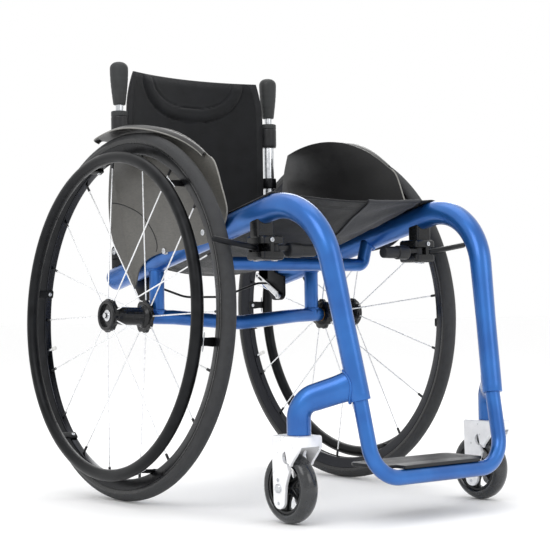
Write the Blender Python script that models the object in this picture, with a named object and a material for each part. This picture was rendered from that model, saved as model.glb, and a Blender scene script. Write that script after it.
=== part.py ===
"""Active wheelchair with a rigid frame: every piece at its real size, in metres, +Z up.

The chair faces -Y and its left side is +X. Inside the script all places are given from the point
on the floor under the rear axle; the empty named chair then puts the middle of the floor area
that the chair covers at the world's origin.
"""
import math

import bmesh
import bpy
from mathutils import Matrix, Vector

for old in list(bpy.data.objects):
    bpy.data.objects.remove(old, do_unlink=True)

# Clearances
SEAT_GAP = 0.0003       # between pieces that rest on, or are fixed to, each other
RUN_GAP = 0.0003        # round a pin, stem or bearing that turns or slides

# Rear wheels
WHEEL_R = 0.295         # 24 inch wheel with a 25 mm tyre
TYRE_W = 0.025
CAMBER = math.radians(2.0)
TRACK = 0.4456          # between the wheel planes at hub height
RIM_W = 0.023
RIM_DEPTH = 0.0172      # from the flange's edge to the inner side of the rim
RIM_WALL = 0.0024
TYRE_SEAT = 0.0063      # depth of the tyre's foot in the rim
HANDRIM_R = 0.253
HANDRIM_TUBE_R = 0.0095
HANDRIM_OFFSET = 0.034  # from the wheel plane, outwards
TAB_COUNT = 6
TAB_W = 0.014
TAB_T = 0.0034
SPOKE_COUNT = 18
SPOKE_R = 0.0014
SPOKE_PHASE = {-1: math.radians(9.0), 1: math.radians(4.0)}
VALVE_ANGLE = math.radians(248.0)     # from the first spoke
VALVE_R = 0.0031
VALVE_LENGTH = 0.026

# Hubs and quick-release axles, with places along the axle from the wheel plane
HUB_INNER = -0.0385
HUB_OUTER = 0.0385
FLANGE_R = 0.027
FLANGE_T = 0.006
BARREL_R = 0.0145
NECK_R = 0.0122
RECESS_R = 0.0182
RECESS_DEPTH = 0.0085
BEARING_R = 0.0105
PIN_R = 0.00635
PIN_HEAD_R = 0.0095
PIN_HEAD_T = 0.0055
BUTTON_R = 0.0045
BUTTON_OUT = 0.005      # how far the button stands out of the axle's head
BUTTON_TRAVEL = 0.004
SLEEVE_FLANGE_T = 0.0015
SLEEVE_LENGTH = 0.046

# Side tubes: seat rail, knee and down tube in one bend
RAIL_R = 0.019
DOWN_R = 0.015
TUBE_WALL = 0.002
RAIL_REAR = Vector((0.164, 0.1265, 0.358))
KNEE = Vector((0.159, -0.4095, 0.4717))
DOWN_FOOT = Vector((0.1313, -0.4654, 0.172))
KNEE_BEND = 0.105
TAPER = (0.56, 0.86)     # shares of its length between which the tube tapers
BORE_TAPER = (0.56, 0.92)
CAP_T = 0.003
CAP_PLUG = 0.012

# Footrest
LEG_R = 0.011
LEG_INSERT = 0.050
FOOT_BAR = Vector((0.126, -0.488, 0.064))
FOOT_BEND = 0.048
PLATE_HALF_W = 0.098
PLATE_DEPTH = 0.095
PLATE_T = 0.005
PLATE_CORNER = 0.012
PLATE_GAP = 0.003       # beside the footrest's bends and behind its legs

# Caster heads, forks and wheels
HEAD_X = 0.190
HEAD_Y = -0.402
HEAD_BOTTOM = 0.125
HEAD_R = 0.017
HEAD_ELBOW = Vector((HEAD_X, HEAD_Y, 0.170))
ELBOW_BEND = 0.030
ARM_START_Z = 0.196
ARM_HALF_W = 0.0130
ARM_HALF_H = 0.0200
CASTER_R = 0.0508
CASTER_W = 0.028
CASTER_TRAIL = 0.021
CASTER_TYRE_T = 0.0135
CASTER_AXLE_R = 0.004
CASTER_HEAD_R = 0.0062
CASTER_HEAD_T = 0.003
CASTER_HUB_R = 0.0105
CASTER_RIM_T = 0.0042
CASTER_SPOKES = 5
CASTER_SPOKE_W = 0.009
FORK_SLOT = 0.0325      # between the two arms
FORK_ARM_T = 0.0052
FORK_DECK_T = 0.0150
FORK_TIP = 0.0125       # the arms' round lower end, as a radius
FORK_TIP_DROP = 0.0165  # its centre, below the wheel's axle
STEM_R = 0.006
STEM_LENGTH = 0.031
STEM_BEARING_R = 0.011
STEM_BORE = 0.034

# Axle tube, its two struts and the curved cross tube under the seat
AXLE_TUBE_R = 0.012
AXLE_TUBE_WALL = 0.003
AXLE_DROP = 0.0143      # of its middle, below the hubs
AXLE_BEND = 0.20
STRUT_R = 0.0122
CROSS_R = 0.0105
CROSS_Y = -0.165
CROSS_Z = 0.3745
CROSS_BEND_X = 0.140
CROSS_BEND = 0.040

# Seat sling and the flap on its front edge
SLING_T = 0.0024
SLING_FRONT = -0.314
SLING_REAR = 0.070
SLING_LAP = math.radians(36.0)      # how far it laps over the rail's outer side
SLING_HANG = math.radians(31.0)     # slope at the rail where it sags most
SLING_HANG_FRONT = math.radians(5.0)
SLING_HANG_REAR = math.radians(18.0)
SLING_DEEPEST = -0.165
SLING_ROWS = 11
FOLDS = 3               # on each side of the sling
FOLD_H = 0.0022
SLING_COLUMNS = 14
SLING_LAP_STEPS = 3
FLAP_ROWS = 2           # of the sling's rows under the seat, and half of the next
FLAP_GAP = 0.0005
FLAP_T = 0.0016
FLAP_TOP = 0.016        # how far it laps over the top of the front edge

# Backrest
HINGE_Y = 0.115
HINGE_Z = 0.405
HINGE_PIN_R = 0.004
POST_X = 0.160
POST_R = 0.0095
POST_TOP = 0.612
POST_BLOCK = (0.526, 0.545)
POST_BLOCK_R = 0.0135
KNUCKLE_W = 0.0196
KNUCKLE_R = 0.0105
CHEEK_T = 0.0035
PLATE_INNER_X = 0.1395
CLAMP_R = 0.0145
CLAMP_BOTTOM = 0.602
CLAMP_TOP = 0.645
HANDLE_R = 0.0065
HANDLE_INSERT = 0.145
NECK_TOP = 0.656
GRIP_R_LOW = 0.0105
GRIP_R_HIGH = 0.0158
GRIP_TOP = 0.730
GRIP_CHAMFER = 0.002
GRIP_DOME = 0.011        # height of its rounded top
CLOTH_TOP = 0.717
CLOTH_BOTTOM = 0.402
CLOTH_CORNER = 0.014    # how far its upper corners draw in
CLOTH_T = 0.008
CLOTH_BOW = 0.026
CLOTH_CROWN = 0.003
PAD_OUTER = (0.108, 0.075)      # half width and height of the sewn arc
PAD_INNER = (0.086, 0.051)
PAD_RISE = 0.0030
CLOTH_ROWS = 15
CLOTH_COLUMNS = 16

# Backrest release: two slotted latch arms joined by a thin bar
LATCH_PIVOT = Vector((0.0, 0.062, 0.328))
LATCH_TAIL = Vector((0.0, 0.124, 0.366))
LATCH_T = 0.004
LATCH_PIN_R = 0.003
BAIL_R = 0.002
BAIL_Y = 0.100
BAIL_MIDDLE_Z = 0.3266

# Side guards
GUARD_X = 0.186
GUARD_T = 0.0025
GUARD_CREST = 0.306     # radius of the crest round the axle
GUARD_FRONT = math.radians(36.5)
GUARD_REAR = math.radians(17.2)
FLARE_OUT = 0.048       # from the panel to the tip over the tyre
GUARD_PEGS = (-0.060, -0.170)
PEG_R = 0.006
FLARE_STEPS = 12

# Brakes
BRAKE_Y = -0.2835
BRAKE_BLOCK_X = (0.133, 0.175)
BRAKE_BLOCK_Z = (0.374, 0.410)
BRAKE_BLOCK_D = 0.042
BRAKE_SLOT_Z = (0.386, 0.398)
BRAKE_PIN_R = 0.003
BRAKE_ROOM = 0.0012     # between the slots and the hubs that turn in them
BRAKE_SADDLE_T = 0.004
BRAKE_SADDLE_W = 0.022
LEVER_PIVOT = Vector((0.1455, -0.2945, 0.392))
LEVER_HUB_R = 0.0072
KNOB_X = (0.070, 0.098, 0.122)
KNOB_R = (0.0095, 0.0110)
PUSHER_PIVOT = Vector((0.1675, -0.2790, 0.392))
PUSHER_HUB_R = 0.0062
PUSHER_R = 0.0045
PUSHER_Y = -0.2905
PUSHER_END = Vector((0.255, PUSHER_Y, 0.404))

# Facets
ROUND = 12
TUBE_SIDES = 12
WHEEL_SIDES = 32        # a multiple of four, so that a flat meets the floor
CASTER_SIDES = 20       # the same
BEND_STEP = math.radians(20.0)

# Worked out from the sizes above
TYRE_MID = WHEEL_R - TYRE_W / 2
HUB_X = TRACK / 2
HUB_Z = TYRE_MID * math.cos(CAMBER) + TYRE_W / 2
RIM_EDGE = TYRE_MID - 0.0053
RIM_INNER = RIM_EDGE - RIM_DEPTH
AXLE_Y = (-FOOT_BAR.y + LEG_R - WHEEL_R) / 2
RAIL_SLOPE = (KNEE.z - RAIL_REAR.z) / (RAIL_REAR.y - KNEE.y)
RAIL_RISE = math.sqrt(1 + RAIL_SLOPE ** 2)
DOWN_WAY = (DOWN_FOOT - KNEE).normalized()
CASTER_AXLE = Vector((HEAD_X, HEAD_Y + CASTER_TRAIL, CASTER_R))
BOTH = ((-1, "right"), (1, "left"))


def material(name, colour, roughness, metallic=0.0):
    """A Principled material in one linear colour."""
    made = bpy.data.materials.new(name)
    made.use_nodes = True
    shader = made.node_tree.nodes["Principled BSDF"]
    shader.inputs["Base Color"].default_value = (*colour, 1.0)
    shader.inputs["Roughness"].default_value = roughness
    shader.inputs["Metallic"].default_value = metallic
    made.diffuse_color = (*colour, 1.0)
    return made


FRAME_BLUE = material("frame_blue", (0.040, 0.150, 0.600), 0.32, 0.55)
BLACK_ANODISED = material("black_anodised", (0.020, 0.020, 0.022), 0.38, 0.6)
BLACK_PLASTIC = material("black_plastic", (0.022, 0.022, 0.024), 0.45)
TYRE_RUBBER = material("tyre_rubber", (0.045, 0.045, 0.047), 0.60)
CASTER_RUBBER = material("caster_rubber", (0.050, 0.052, 0.055), 0.35)
POLISHED_ALUMINIUM = material("polished_aluminium", (0.820, 0.820, 0.830), 0.22, 1.0)
SILVER_FORK = material("silver_fork", (0.780, 0.780, 0.790), 0.30, 0.7)
STAINLESS = material("stainless_steel", (0.620, 0.620, 0.630), 0.25, 1.0)
BRONZE = material("bronze_bush", (0.400, 0.240, 0.100), 0.40, 1.0)
SEAT_NYLON = material("seat_nylon", (0.016, 0.016, 0.018), 0.75)
BACK_CLOTH = material("back_cloth", (0.030, 0.030, 0.033), 0.85)
FLAP_GREY = material("flap_grey", (0.110, 0.110, 0.115), 0.60)
GUARD_GREY = material("guard_grey", (0.060, 0.058, 0.055), 0.40)
FOAM_GRIP = material("grip_rubber", (0.018, 0.018, 0.019), 0.70)

chair = bpy.data.objects.new("chair", None)
chair.location = (0.0, AXLE_Y, 0.0)
bpy.context.collection.objects.link(chair)


def mesh_object(name, verts, faces):
    """A closed mesh with its faces pointing out."""
    work = bmesh.new()
    made = [work.verts.new(v) for v in verts]
    for face in faces:
        work.faces.new([made[i] for i in face])
    bmesh.ops.recalc_face_normals(work, faces=work.faces)
    mesh = bpy.data.meshes.new(name)
    work.to_mesh(mesh)
    work.free()
    piece = bpy.data.objects.new(name, mesh)
    bpy.context.collection.objects.link(piece)
    return piece


def combine(piece, operation, *others):
    """Join others to a piece, or cut them from it, and remove them."""
    for other in others:
        step = piece.modifiers.new("combine", "BOOLEAN")
        step.operation = operation
        step.solver = "EXACT"
        step.object = other
    bpy.context.view_layer.update()
    shown = piece.evaluated_get(bpy.context.evaluated_depsgraph_get())
    piece.data = bpy.data.meshes.new_from_object(shown)
    piece.modifiers.clear()
    for other in others:
        bpy.data.objects.remove(other, do_unlink=True)
    return piece


def fuse(piece, *others):
    return combine(piece, "UNION", *others)


def cut(piece, *others):
    return combine(piece, "DIFFERENCE", *others)


def finish(piece, name, finish_material, origin=None, parent=None, sharp=35.0):
    """Name a piece, give it its material, and put its origin on its joint's axis."""
    piece.name = name
    piece.data.name = name
    piece.data.materials.clear()
    piece.data.materials.append(finish_material)
    piece.data.shade_smooth()
    piece.data.set_sharp_from_angle(angle=math.radians(sharp))
    if origin is not None:
        piece.data.transform(Matrix.Translation(-Vector(origin)))
        piece.location = Vector(origin) - (parent.location if parent else Vector())
    piece.parent = parent or chair
    return piece


def loft(rings, closed=False):
    """Skin rings of as many points each: end faces, or the last ring joined to the first."""
    count = len(rings[0])
    verts = [point for ring in rings for point in ring]
    faces = []
    steps = len(rings) if closed else len(rings) - 1
    for i in range(steps):
        a = i * count
        b = (i + 1) % len(rings) * count
        for j in range(count):
            k = (j + 1) % count
            faces.append((a + j, a + k, b + k, b + j))
    if not closed:
        faces.append(tuple(range(count)))
        faces.append(tuple(len(verts) - count + j for j in range(count)))
    return mesh_object("loft", verts, faces)


def round_path(points, bends, step=BEND_STEP):
    """A path through its corner points, with an arc of the given radius at each inner one."""
    path = [Vector(points[0])]
    for before, corner, after, radius in zip(points, points[1:], points[2:], bends):
        back = (Vector(before) - corner).normalized()
        ahead = (Vector(after) - corner).normalized()
        turn = math.pi - back.angle(ahead)
        reach = radius * math.tan(turn / 2)
        middle = corner + (back + ahead).normalized() * radius / math.cos(turn / 2)
        start = corner + back * reach - middle
        count = math.ceil(turn / step)
        axis = back.cross(ahead).normalized()
        for i in range(count + 1):
            path.append(middle + Matrix.Rotation(-turn * i / count, 3, axis) @ start)
    path.append(Vector(points[-1]))
    return path


def frames(path):
    """Two unit vectors square to the path at each of its points, without twist."""
    made = []
    side = None
    for i, point in enumerate(path):
        way = (path[min(i + 1, len(path) - 1)] - point).normalized()
        way += (point - path[max(i - 1, 0)]).normalized()
        way.normalize()
        if side is None:
            side = way.orthogonal()
            if abs(way.x) < 0.9:
                side = way.cross(Vector((1, 0, 0))).cross(way)
        side = (side - way * side.dot(way)).normalized()
        made.append((side.copy(), way.cross(side)))
    return made


def ring_points(centre, side, up, width, height, sides):
    turns = [math.tau * i / sides for i in range(sides)]
    return [centre + side * width * math.cos(a) + up * height * math.sin(a) for a in turns]


def run(path, radius, sides=TUBE_SIDES, height=None):
    """A solid bar along a path. A radius is a number or a function of the way along."""
    lengths = [0.0]
    for a, b in zip(path, path[1:]):
        lengths.append(lengths[-1] + (b - a).length)
    rings = []
    for point, (side, up), length in zip(path, frames(path), lengths):
        along = length / lengths[-1]
        width = radius(along) if callable(radius) else radius
        tall = width if height is None else height(along)
        rings.append(ring_points(point, side, up, width, tall, sides))
    return loft(rings)


def turned(profile, sides=ROUND):
    """A closed profile of (radius, height) turned about Z. Points on the axis close the ends."""
    ways = [(math.cos(a), math.sin(a)) for a in [math.tau * (i + 0.5) / sides for i in range(sides)]]
    rings = [[Vector((r * c, r * s, z)) for r, z in profile] for c, s in ways]
    if min(r for r, z in profile) > 0:
        return loft(rings, closed=True)
    verts = []
    layers = []
    for r, z in profile:
        if r == 0:
            layers.append([len(verts)])
            verts.append(Vector((0, 0, z)))
        else:
            layers.append(range(len(verts), len(verts) + sides))
            verts += [Vector((r * c, r * s, z)) for c, s in ways]
    faces = []
    for low, high in zip(layers, layers[1:]):
        for j in range(sides):
            k = (j + 1) % sides
            if len(low) == 1 and len(high) == 1:
                continue
            if len(low) == 1:
                faces.append((low[0], high[k], high[j]))
            elif len(high) == 1:
                faces.append((low[j], low[k], high[0]))
            else:
                faces.append((low[j], low[k], high[k], high[j]))
    return mesh_object("turned", verts, faces)


def wide(radius, sides=ROUND):
    """The radius of a faceted round whose flats lie at the given radius."""
    return radius / math.cos(math.pi / sides)


def hoop(profile, sides):
    """A turned ring whose flats lie at the profile's radii, one of them lowest on a wheel."""
    return turned([(wide(r, sides), z) for r, z in profile], sides)


def rod(radius, start, end, sides=TUBE_SIDES):
    return run([Vector(start), Vector(end)], radius, sides)


def aim(piece, point, way, spin_axis=Vector((0, 0, 1))):
    """Turn a piece made along Z to a direction, and set it at a point."""
    turn = spin_axis.rotation_difference(Vector(way)).to_matrix().to_4x4()
    piece.data.transform(Matrix.Translation(point) @ turn)
    return piece


def slab(outline, low, high, axis="X"):
    """A flat outline given thickness along an axis: (y, z) for X, (x, y) for Z."""
    spread = {
        "X": lambda p, d: Vector((d, p[0], p[1])),
        "Y": lambda p, d: Vector((p[0], d, p[1])),
        "Z": lambda p, d: Vector((p[0], p[1], d)),
    }[axis]
    return loft([[spread(p, low) for p in outline], [spread(p, high) for p in outline]])


def box(x, y, z):
    return slab([(y[0], z[0]), (y[1], z[0]), (y[1], z[1]), (y[0], z[1])], x[0], x[1])


def arc(centre, radius, start, end, count):
    """Points of an arc in a plane, its angles in degrees."""
    angles = [math.radians(start + (end - start) * i / count) for i in range(count + 1)]
    return [(centre[0] + radius * math.cos(a), centre[1] + radius * math.sin(a)) for a in angles]


def softened(piece, width, segments=2, angle=40.0):
    """Round the edges of a piece that turn sharper than an angle."""
    edge = piece.modifiers.new("edge", "BEVEL")
    edge.width = width
    edge.segments = segments
    edge.limit_method = "ANGLE"
    edge.angle_limit = math.radians(angle)
    return combine(piece, "UNION")


# Side tubes, their end caps and the places on them

def rail_at(y, side=1):
    """The middle of the seat rail at a place along the chair."""
    along = (RAIL_REAR.y - y) / (RAIL_REAR.y - KNEE.y)
    return Vector((side * (RAIL_REAR.x + (KNEE.x - RAIL_REAR.x) * along), y,
                   RAIL_REAR.z + RAIL_SLOPE * (RAIL_REAR.y - y)))


def down_at(z, side=1):
    """The middle of the down tube at a height."""
    point = KNEE + DOWN_WAY * ((z - KNEE.z) / DOWN_WAY.z)
    return Vector((side * point.x, point.y, point.z))


def mirrored(point, side):
    return Vector((side * point[0], point[1], point[2]))


def side_path(side):
    return round_path([mirrored(p, side) for p in (RAIL_REAR, KNEE, DOWN_FOOT)], [KNEE_BEND])


def taper(start, end, begin, stop):
    """A radius that changes between two shares of the way along."""
    def radius(along):
        share = min(max((along - begin) / (stop - begin), 0.0), 1.0)
        return start + (end - start) * share
    return radius


def side_outside(side, more=0.0):
    """The outer form of a side tube, also larger by a gap, to cut what meets it."""
    return run(side_path(side), taper(RAIL_R + more, DOWN_R + more, *TAPER))


def side_tube(side, word):
    outside = side_outside(side)
    inner = RAIL_R - TUBE_WALL
    way = [point.copy() for point in side_path(side)]
    way[0] += (way[0] - way[1]).normalized() * TUBE_WALL
    way[-1] = down_at(DOWN_FOOT.z + LEG_INSERT + SEAT_GAP, side)
    core = run(way, taper(inner, LEG_R + SEAT_GAP, *BORE_TAPER))
    socket = rod(LEG_R + SEAT_GAP, down_at(DOWN_FOOT.z - TUBE_WALL, side),
                 down_at(DOWN_FOOT.z + LEG_INSERT + 4 * TUBE_WALL, side))
    finish(cut(outside, core, socket), "side_tube_" + word, FRAME_BLUE)


def rail_end_cap(side, word):
    plug = RAIL_R - TUBE_WALL - SEAT_GAP
    flat = RAIL_R - 0.001
    edge = plug * math.cos(math.pi / TUBE_SIDES)
    cap = turned([(0, SEAT_GAP + CAP_T), (flat, SEAT_GAP + CAP_T), (RAIL_R, SEAT_GAP + CAP_T * 0.6),
                  (RAIL_R, SEAT_GAP), (edge, SEAT_GAP), (edge - 0.001, -CAP_PLUG), (0, -CAP_PLUG)])
    way = (rail_at(RAIL_REAR.y, side) - rail_at(KNEE.y, side)).normalized()
    finish(aim(cap, rail_at(RAIL_REAR.y, side), way), "rail_end_cap_" + word, BLACK_PLASTIC)


# Footrest

def footrest():
    points = []
    for side in (1, -1):
        top = down_at(DOWN_FOOT.z + LEG_INSERT, side)
        leg = [top, down_at(DOWN_FOOT.z, side), mirrored(FOOT_BAR, side)]
        points += leg if side == 1 else leg[::-1]
    tube = run(round_path(points, [FOOT_BEND, FOOT_BEND, FOOT_BEND, FOOT_BEND]), LEG_R)
    finish(tube, "footrest_tube", FRAME_BLUE)


def footplate():
    """A thin plate with a tongue on the straight part of the bar, and wider behind the legs."""
    front = FOOT_BAR.y - LEG_R / 2
    waist = FOOT_BAR.y + LEG_R + PLATE_GAP
    rear = front + PLATE_DEPTH
    tongue = FOOT_BAR.x - FOOT_BEND - PLATE_GAP
    low = FOOT_BAR.z + LEG_R + SEAT_GAP
    wide_x = PLATE_HALF_W - PLATE_CORNER
    outline = arc((wide_x, rear - PLATE_CORNER), PLATE_CORNER, 0, 90, 3)
    outline += arc((-wide_x, rear - PLATE_CORNER), PLATE_CORNER, 90, 180, 3)
    outline += [(-PLATE_HALF_W, waist), (-tongue, waist), (-tongue, front), (tongue, front), (tongue, waist),
                (PLATE_HALF_W, waist)]
    finish(slab(outline, low, low + PLATE_T, "Z"), "footplate", BLACK_PLASTIC)


# Caster heads

def arm_path(side):
    elbow = mirrored(HEAD_ELBOW, side)
    foot = Vector((elbow.x, elbow.y, HEAD_BOTTOM))
    return round_path([down_at(ARM_START_Z, side), elbow, foot], [ELBOW_BEND])


def caster_arm(side, word):
    path = arm_path(side)
    across = (path[-1] - path[0]).cross(Vector((0, 0, 1))).normalized()
    rings = []
    for i, point in enumerate(path):
        way = (path[min(i + 1, len(path) - 1)] - path[max(i - 1, 0)]).normalized()
        share = min(i / (len(path) - 4), 1.0)
        width = ARM_HALF_W + (HEAD_R - ARM_HALF_W) * share
        height = ARM_HALF_H + (HEAD_R - ARM_HALF_H) * share
        if i == len(path) - 1:
            way = Vector((0, 0, -1))
        rings.append(ring_points(point, across, way.cross(across), width, height, ROUND))
    arm = loft(rings)
    bore = rod(STEM_BEARING_R + SEAT_GAP, (side * HEAD_X, HEAD_Y, HEAD_BOTTOM - TUBE_WALL),
               (side * HEAD_X, HEAD_Y, HEAD_BOTTOM + STEM_BORE), ROUND)
    finish(cut(arm, side_outside(side, SEAT_GAP), bore), "caster_arm_" + word, FRAME_BLUE)


# Casters

def stem_bearing(side, word):
    outer = STEM_BEARING_R * math.cos(math.pi / ROUND)
    inner = (STEM_R + RUN_GAP) / math.cos(math.pi / ROUND)
    low = HEAD_BOTTOM + SEAT_GAP
    high = HEAD_BOTTOM + STEM_BORE - SEAT_GAP
    ring = turned([(outer, low), (outer, high), (inner, high), (inner, low)])
    aim(ring, Vector((side * HEAD_X, HEAD_Y, 0)), Vector((0, 0, 1)))
    finish(ring, "stem_bearing_" + word, STAINLESS)


def fork(side, word, swivel):
    """One forged fork: a deck under the head, two arms with an oval window, and the stem."""
    axle = CASTER_AXLE
    top = HEAD_BOTTOM - RUN_GAP
    deck = top - FORK_DECK_T
    half = FORK_SLOT / 2 + FORK_ARM_T
    tip = (axle.y, axle.z - FORK_TIP_DROP)
    front = [(axle.y - 0.0145, axle.z + 0.004), (HEAD_Y - 0.0065, axle.z + 0.036),
             (HEAD_Y - 0.0210, axle.z + 0.052), (HEAD_Y - 0.0250, top - 0.012), (HEAD_Y - 0.0245, top - 0.002),
             (HEAD_Y - 0.0225, top)]
    back = [(axle.y + 0.0130, top), (axle.y + 0.0155, top - 0.003)]
    outline = arc(tip, FORK_TIP, 0, -180, 6) + front + back
    body = slab(outline, side * HEAD_X - half, side * HEAD_X + half)
    body = softened(body, 0.0022, 1)
    slot = box((side * HEAD_X - FORK_SLOT / 2, side * HEAD_X + FORK_SLOT / 2),
               (axle.y - 0.08, axle.y + 0.08), (-0.01, deck))
    window = slab(arc((0, 0), 0.0088, 90, -90, 4) + arc((0, -0.013), 0.0052, -90, -270, 4),
                  -half * 1.5, half * 1.5)
    window.data.transform(Matrix.Translation((side * HEAD_X, HEAD_Y + 0.003, axle.z + 0.044))
                          @ Matrix.Rotation(math.radians(-12.0), 4, "X"))
    hole = rod(CASTER_AXLE_R + SEAT_GAP, (side * HEAD_X - half * 1.5, axle.y, axle.z),
               (side * HEAD_X + half * 1.5, axle.y, axle.z))
    cut(body, slot, window, hole)
    stem = rod(STEM_R, (side * HEAD_X, HEAD_Y, deck + TUBE_WALL), (side * HEAD_X, HEAD_Y, top + STEM_LENGTH))
    fuse(body, stem)
    finish(body, "caster_fork_" + word, SILVER_FORK, (side * HEAD_X, HEAD_Y, 0), swivel)


def caster_tyre_profile():
    half = CASTER_W / 2
    inner = CASTER_R - CASTER_TYRE_T
    crown = [(CASTER_R - half * 0.72 + half * 0.72 * math.cos(a), half * math.sin(a))
             for a in [math.radians(-90 + 30 * i) for i in range(7)]]
    return [(inner, -half * 0.82)] + crown + [(inner, half * 0.82)]


def caster_wheel(side, word, swivel):
    axle = mirrored(CASTER_AXLE, side)
    wheel = bpy.data.objects.new("caster_spin_" + word, None)
    wheel.location = axle - Vector((side * HEAD_X, HEAD_Y, 0))
    wheel.rotation_euler = (0, math.pi / 2, 0)
    wheel.parent = swivel
    bpy.context.collection.objects.link(wheel)
    finish(hoop(caster_tyre_profile(), CASTER_SIDES), "caster_tyre_" + word, CASTER_RUBBER, None, wheel)
    outer = CASTER_R - CASTER_TYRE_T - SEAT_GAP
    bore = wide(CASTER_AXLE_R + RUN_GAP)
    rim_half = CASTER_W * 0.38
    web_half = CASTER_W * 0.17
    hub_half = FORK_SLOT / 2 - SEAT_GAP
    rim_low = outer - CASTER_RIM_T
    ring = hoop([(rim_low, -rim_half), (outer, -rim_half), (outer, rim_half), (rim_low, rim_half)], CASTER_SIDES)
    spider = turned([(bore, -hub_half), (CASTER_HUB_R, -hub_half), (CASTER_HUB_R, hub_half), (bore, hub_half)])
    spokes = []
    for i in range(CASTER_SPOKES):
        bar = box(((CASTER_HUB_R + bore) / 2, rim_low + CASTER_RIM_T / 2),
                  (-CASTER_SPOKE_W / 2, CASTER_SPOKE_W / 2), (-web_half, web_half))
        bar.data.transform(Matrix.Rotation(math.tau * i / CASTER_SPOKES, 4, "Z"))
        spokes.append(bar)
    fuse(spider, ring, *spokes)
    finish(spider, "caster_hub_" + word, BLACK_PLASTIC, None, wheel)
    reach = FORK_SLOT / 2 + FORK_ARM_T + SEAT_GAP
    screw = rod(CASTER_AXLE_R, (0, 0, -reach - CASTER_HEAD_T / 2), (0, 0, reach + CASTER_HEAD_T / 2))
    for end in (-1, 1):
        head = rod(CASTER_HEAD_R, (0, 0, end * reach), (0, 0, end * (reach + CASTER_HEAD_T)))
        fuse(screw, head)
    finish(screw, "caster_axle_" + word, STAINLESS, None, None)
    screw.parent = swivel
    screw.location = wheel.location
    screw.rotation_euler = wheel.rotation_euler


def caster(side, word):
    swivel = bpy.data.objects.new("caster_swivel_" + word, None)
    swivel.location = (side * HEAD_X, HEAD_Y, 0)
    swivel.parent = chair
    bpy.context.collection.objects.link(swivel)
    stem_bearing(side, word)
    fork(side, word, swivel)
    caster_wheel(side, word, swivel)


# Rear wheels, made along Z with the wheel plane at zero and the outer side up

TUBE_END = HUB_INNER - RUN_GAP - SLEEVE_FLANGE_T - SEAT_GAP
RECESS_FLOOR = HUB_OUTER - RECESS_DEPTH


def wheel_turn(side):
    return side * (math.pi / 2 - CAMBER)


def wheel_place(side):
    return Matrix.Translation((side * HUB_X, 0, HUB_Z)) @ Matrix.Rotation(wheel_turn(side), 4, "Y")


def spoke_way(side, angle):
    """A direction in the wheel plane, its angle from straight up towards the chair's front."""
    return Vector((-side * math.cos(angle), -math.sin(angle), 0))


def tyre():
    r = TYRE_W / 2
    shoulder = math.acos((RIM_EDGE + SEAT_GAP - TYRE_MID) / r)
    crown = [(TYRE_MID + r * math.cos(a), r * math.sin(a))
             for a in [shoulder * (i / 3 - 1) for i in range(7)]]
    foot = RIM_W / 2 - RIM_WALL - SEAT_GAP
    low = RIM_EDGE - TYRE_SEAT
    profile = [(low, -foot), (RIM_EDGE + SEAT_GAP, -foot)] + crown + [(RIM_EDGE + SEAT_GAP, foot), (low, foot)]
    return hoop(profile, WHEEL_SIDES)


def rim(side):
    half = RIM_W / 2
    channel = half - RIM_WALL
    floor = RIM_EDGE - TYRE_SEAT - SEAT_GAP
    profile = [(RIM_EDGE, half), (RIM_EDGE, channel), (floor, channel), (floor, -channel), (RIM_EDGE, -channel),
               (RIM_EDGE, -half), (RIM_INNER, -half * 0.55), (RIM_INNER, half * 0.55)]
    way = spoke_way(side, SPOKE_PHASE[side] + VALVE_ANGLE)
    valve = rod(VALVE_R, way * (RIM_INNER - VALVE_LENGTH), way * (RIM_INNER + RIM_WALL), 10)
    return fuse(hoop(profile, WHEEL_SIDES), valve)


def handrim(side):
    ring = [(HANDRIM_R + HANDRIM_TUBE_R * math.cos(a), HANDRIM_OFFSET + HANDRIM_TUBE_R * math.sin(a))
            for a in [math.tau * i / 7 for i in range(7)]]
    made = hoop(ring, WHEEL_SIDES)
    top = RIM_INNER - SEAT_GAP
    for i in range(TAB_COUNT):
        angle = SPOKE_PHASE[side] + math.tau * (1.5 / SPOKE_COUNT + i / TAB_COUNT)
        out = spoke_way(side, angle)
        across = Vector((-out.y, out.x, 0))
        corners = [(top - TAB_T, -TAB_W / 2), (top, -TAB_W / 2), (top, TAB_W / 2), (top - TAB_T, TAB_W / 2)]
        ends = [[out * r + across * t + Vector((0, 0, z)) for r, t in corners]
                for z in (-RIM_W / 4, HANDRIM_OFFSET)]
        fuse(made, loft(ends))
    return made


def hub(side):
    bore = wide(BEARING_R + SEAT_GAP)
    edge = FLANGE_T / 4
    floor = RECESS_FLOOR
    profile = [(bore, HUB_INNER), (FLANGE_R - edge, HUB_INNER), (FLANGE_R, HUB_INNER + edge),
               (FLANGE_R, HUB_INNER + FLANGE_T), (BARREL_R, HUB_INNER + FLANGE_T * 1.4), (BARREL_R, floor * 0.55),
               (NECK_R, floor * 0.75), (NECK_R, floor - FLANGE_T * 0.7), (FLANGE_R * 0.93, floor - FLANGE_T / 2),
               (FLANGE_R, floor), (FLANGE_R, HUB_OUTER - edge), (FLANGE_R - edge, HUB_OUTER),
               (RECESS_R, HUB_OUTER), (RECESS_R, floor), (bore, floor)]
    made = turned(profile)
    reach = RIM_INNER - SEAT_GAP
    for i in range(SPOKE_COUNT):
        way = spoke_way(side, SPOKE_PHASE[side] + math.tau * i / SPOKE_COUNT)
        root = HUB_INNER + FLANGE_T / 2 if i % 2 == 0 else floor + FLANGE_T / 4
        foot = way * (FLANGE_R - FLANGE_T * 0.6) + Vector((0, 0, root))
        fuse(made, rod(SPOKE_R, foot, way * reach, 4))
    return made


def hub_bearing():
    inner = wide(PIN_R + RUN_GAP)
    low = HUB_INNER + SEAT_GAP
    high = RECESS_FLOOR - SEAT_GAP
    return turned([(BEARING_R, low), (BEARING_R, high), (inner, high), (inner, low)])


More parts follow.
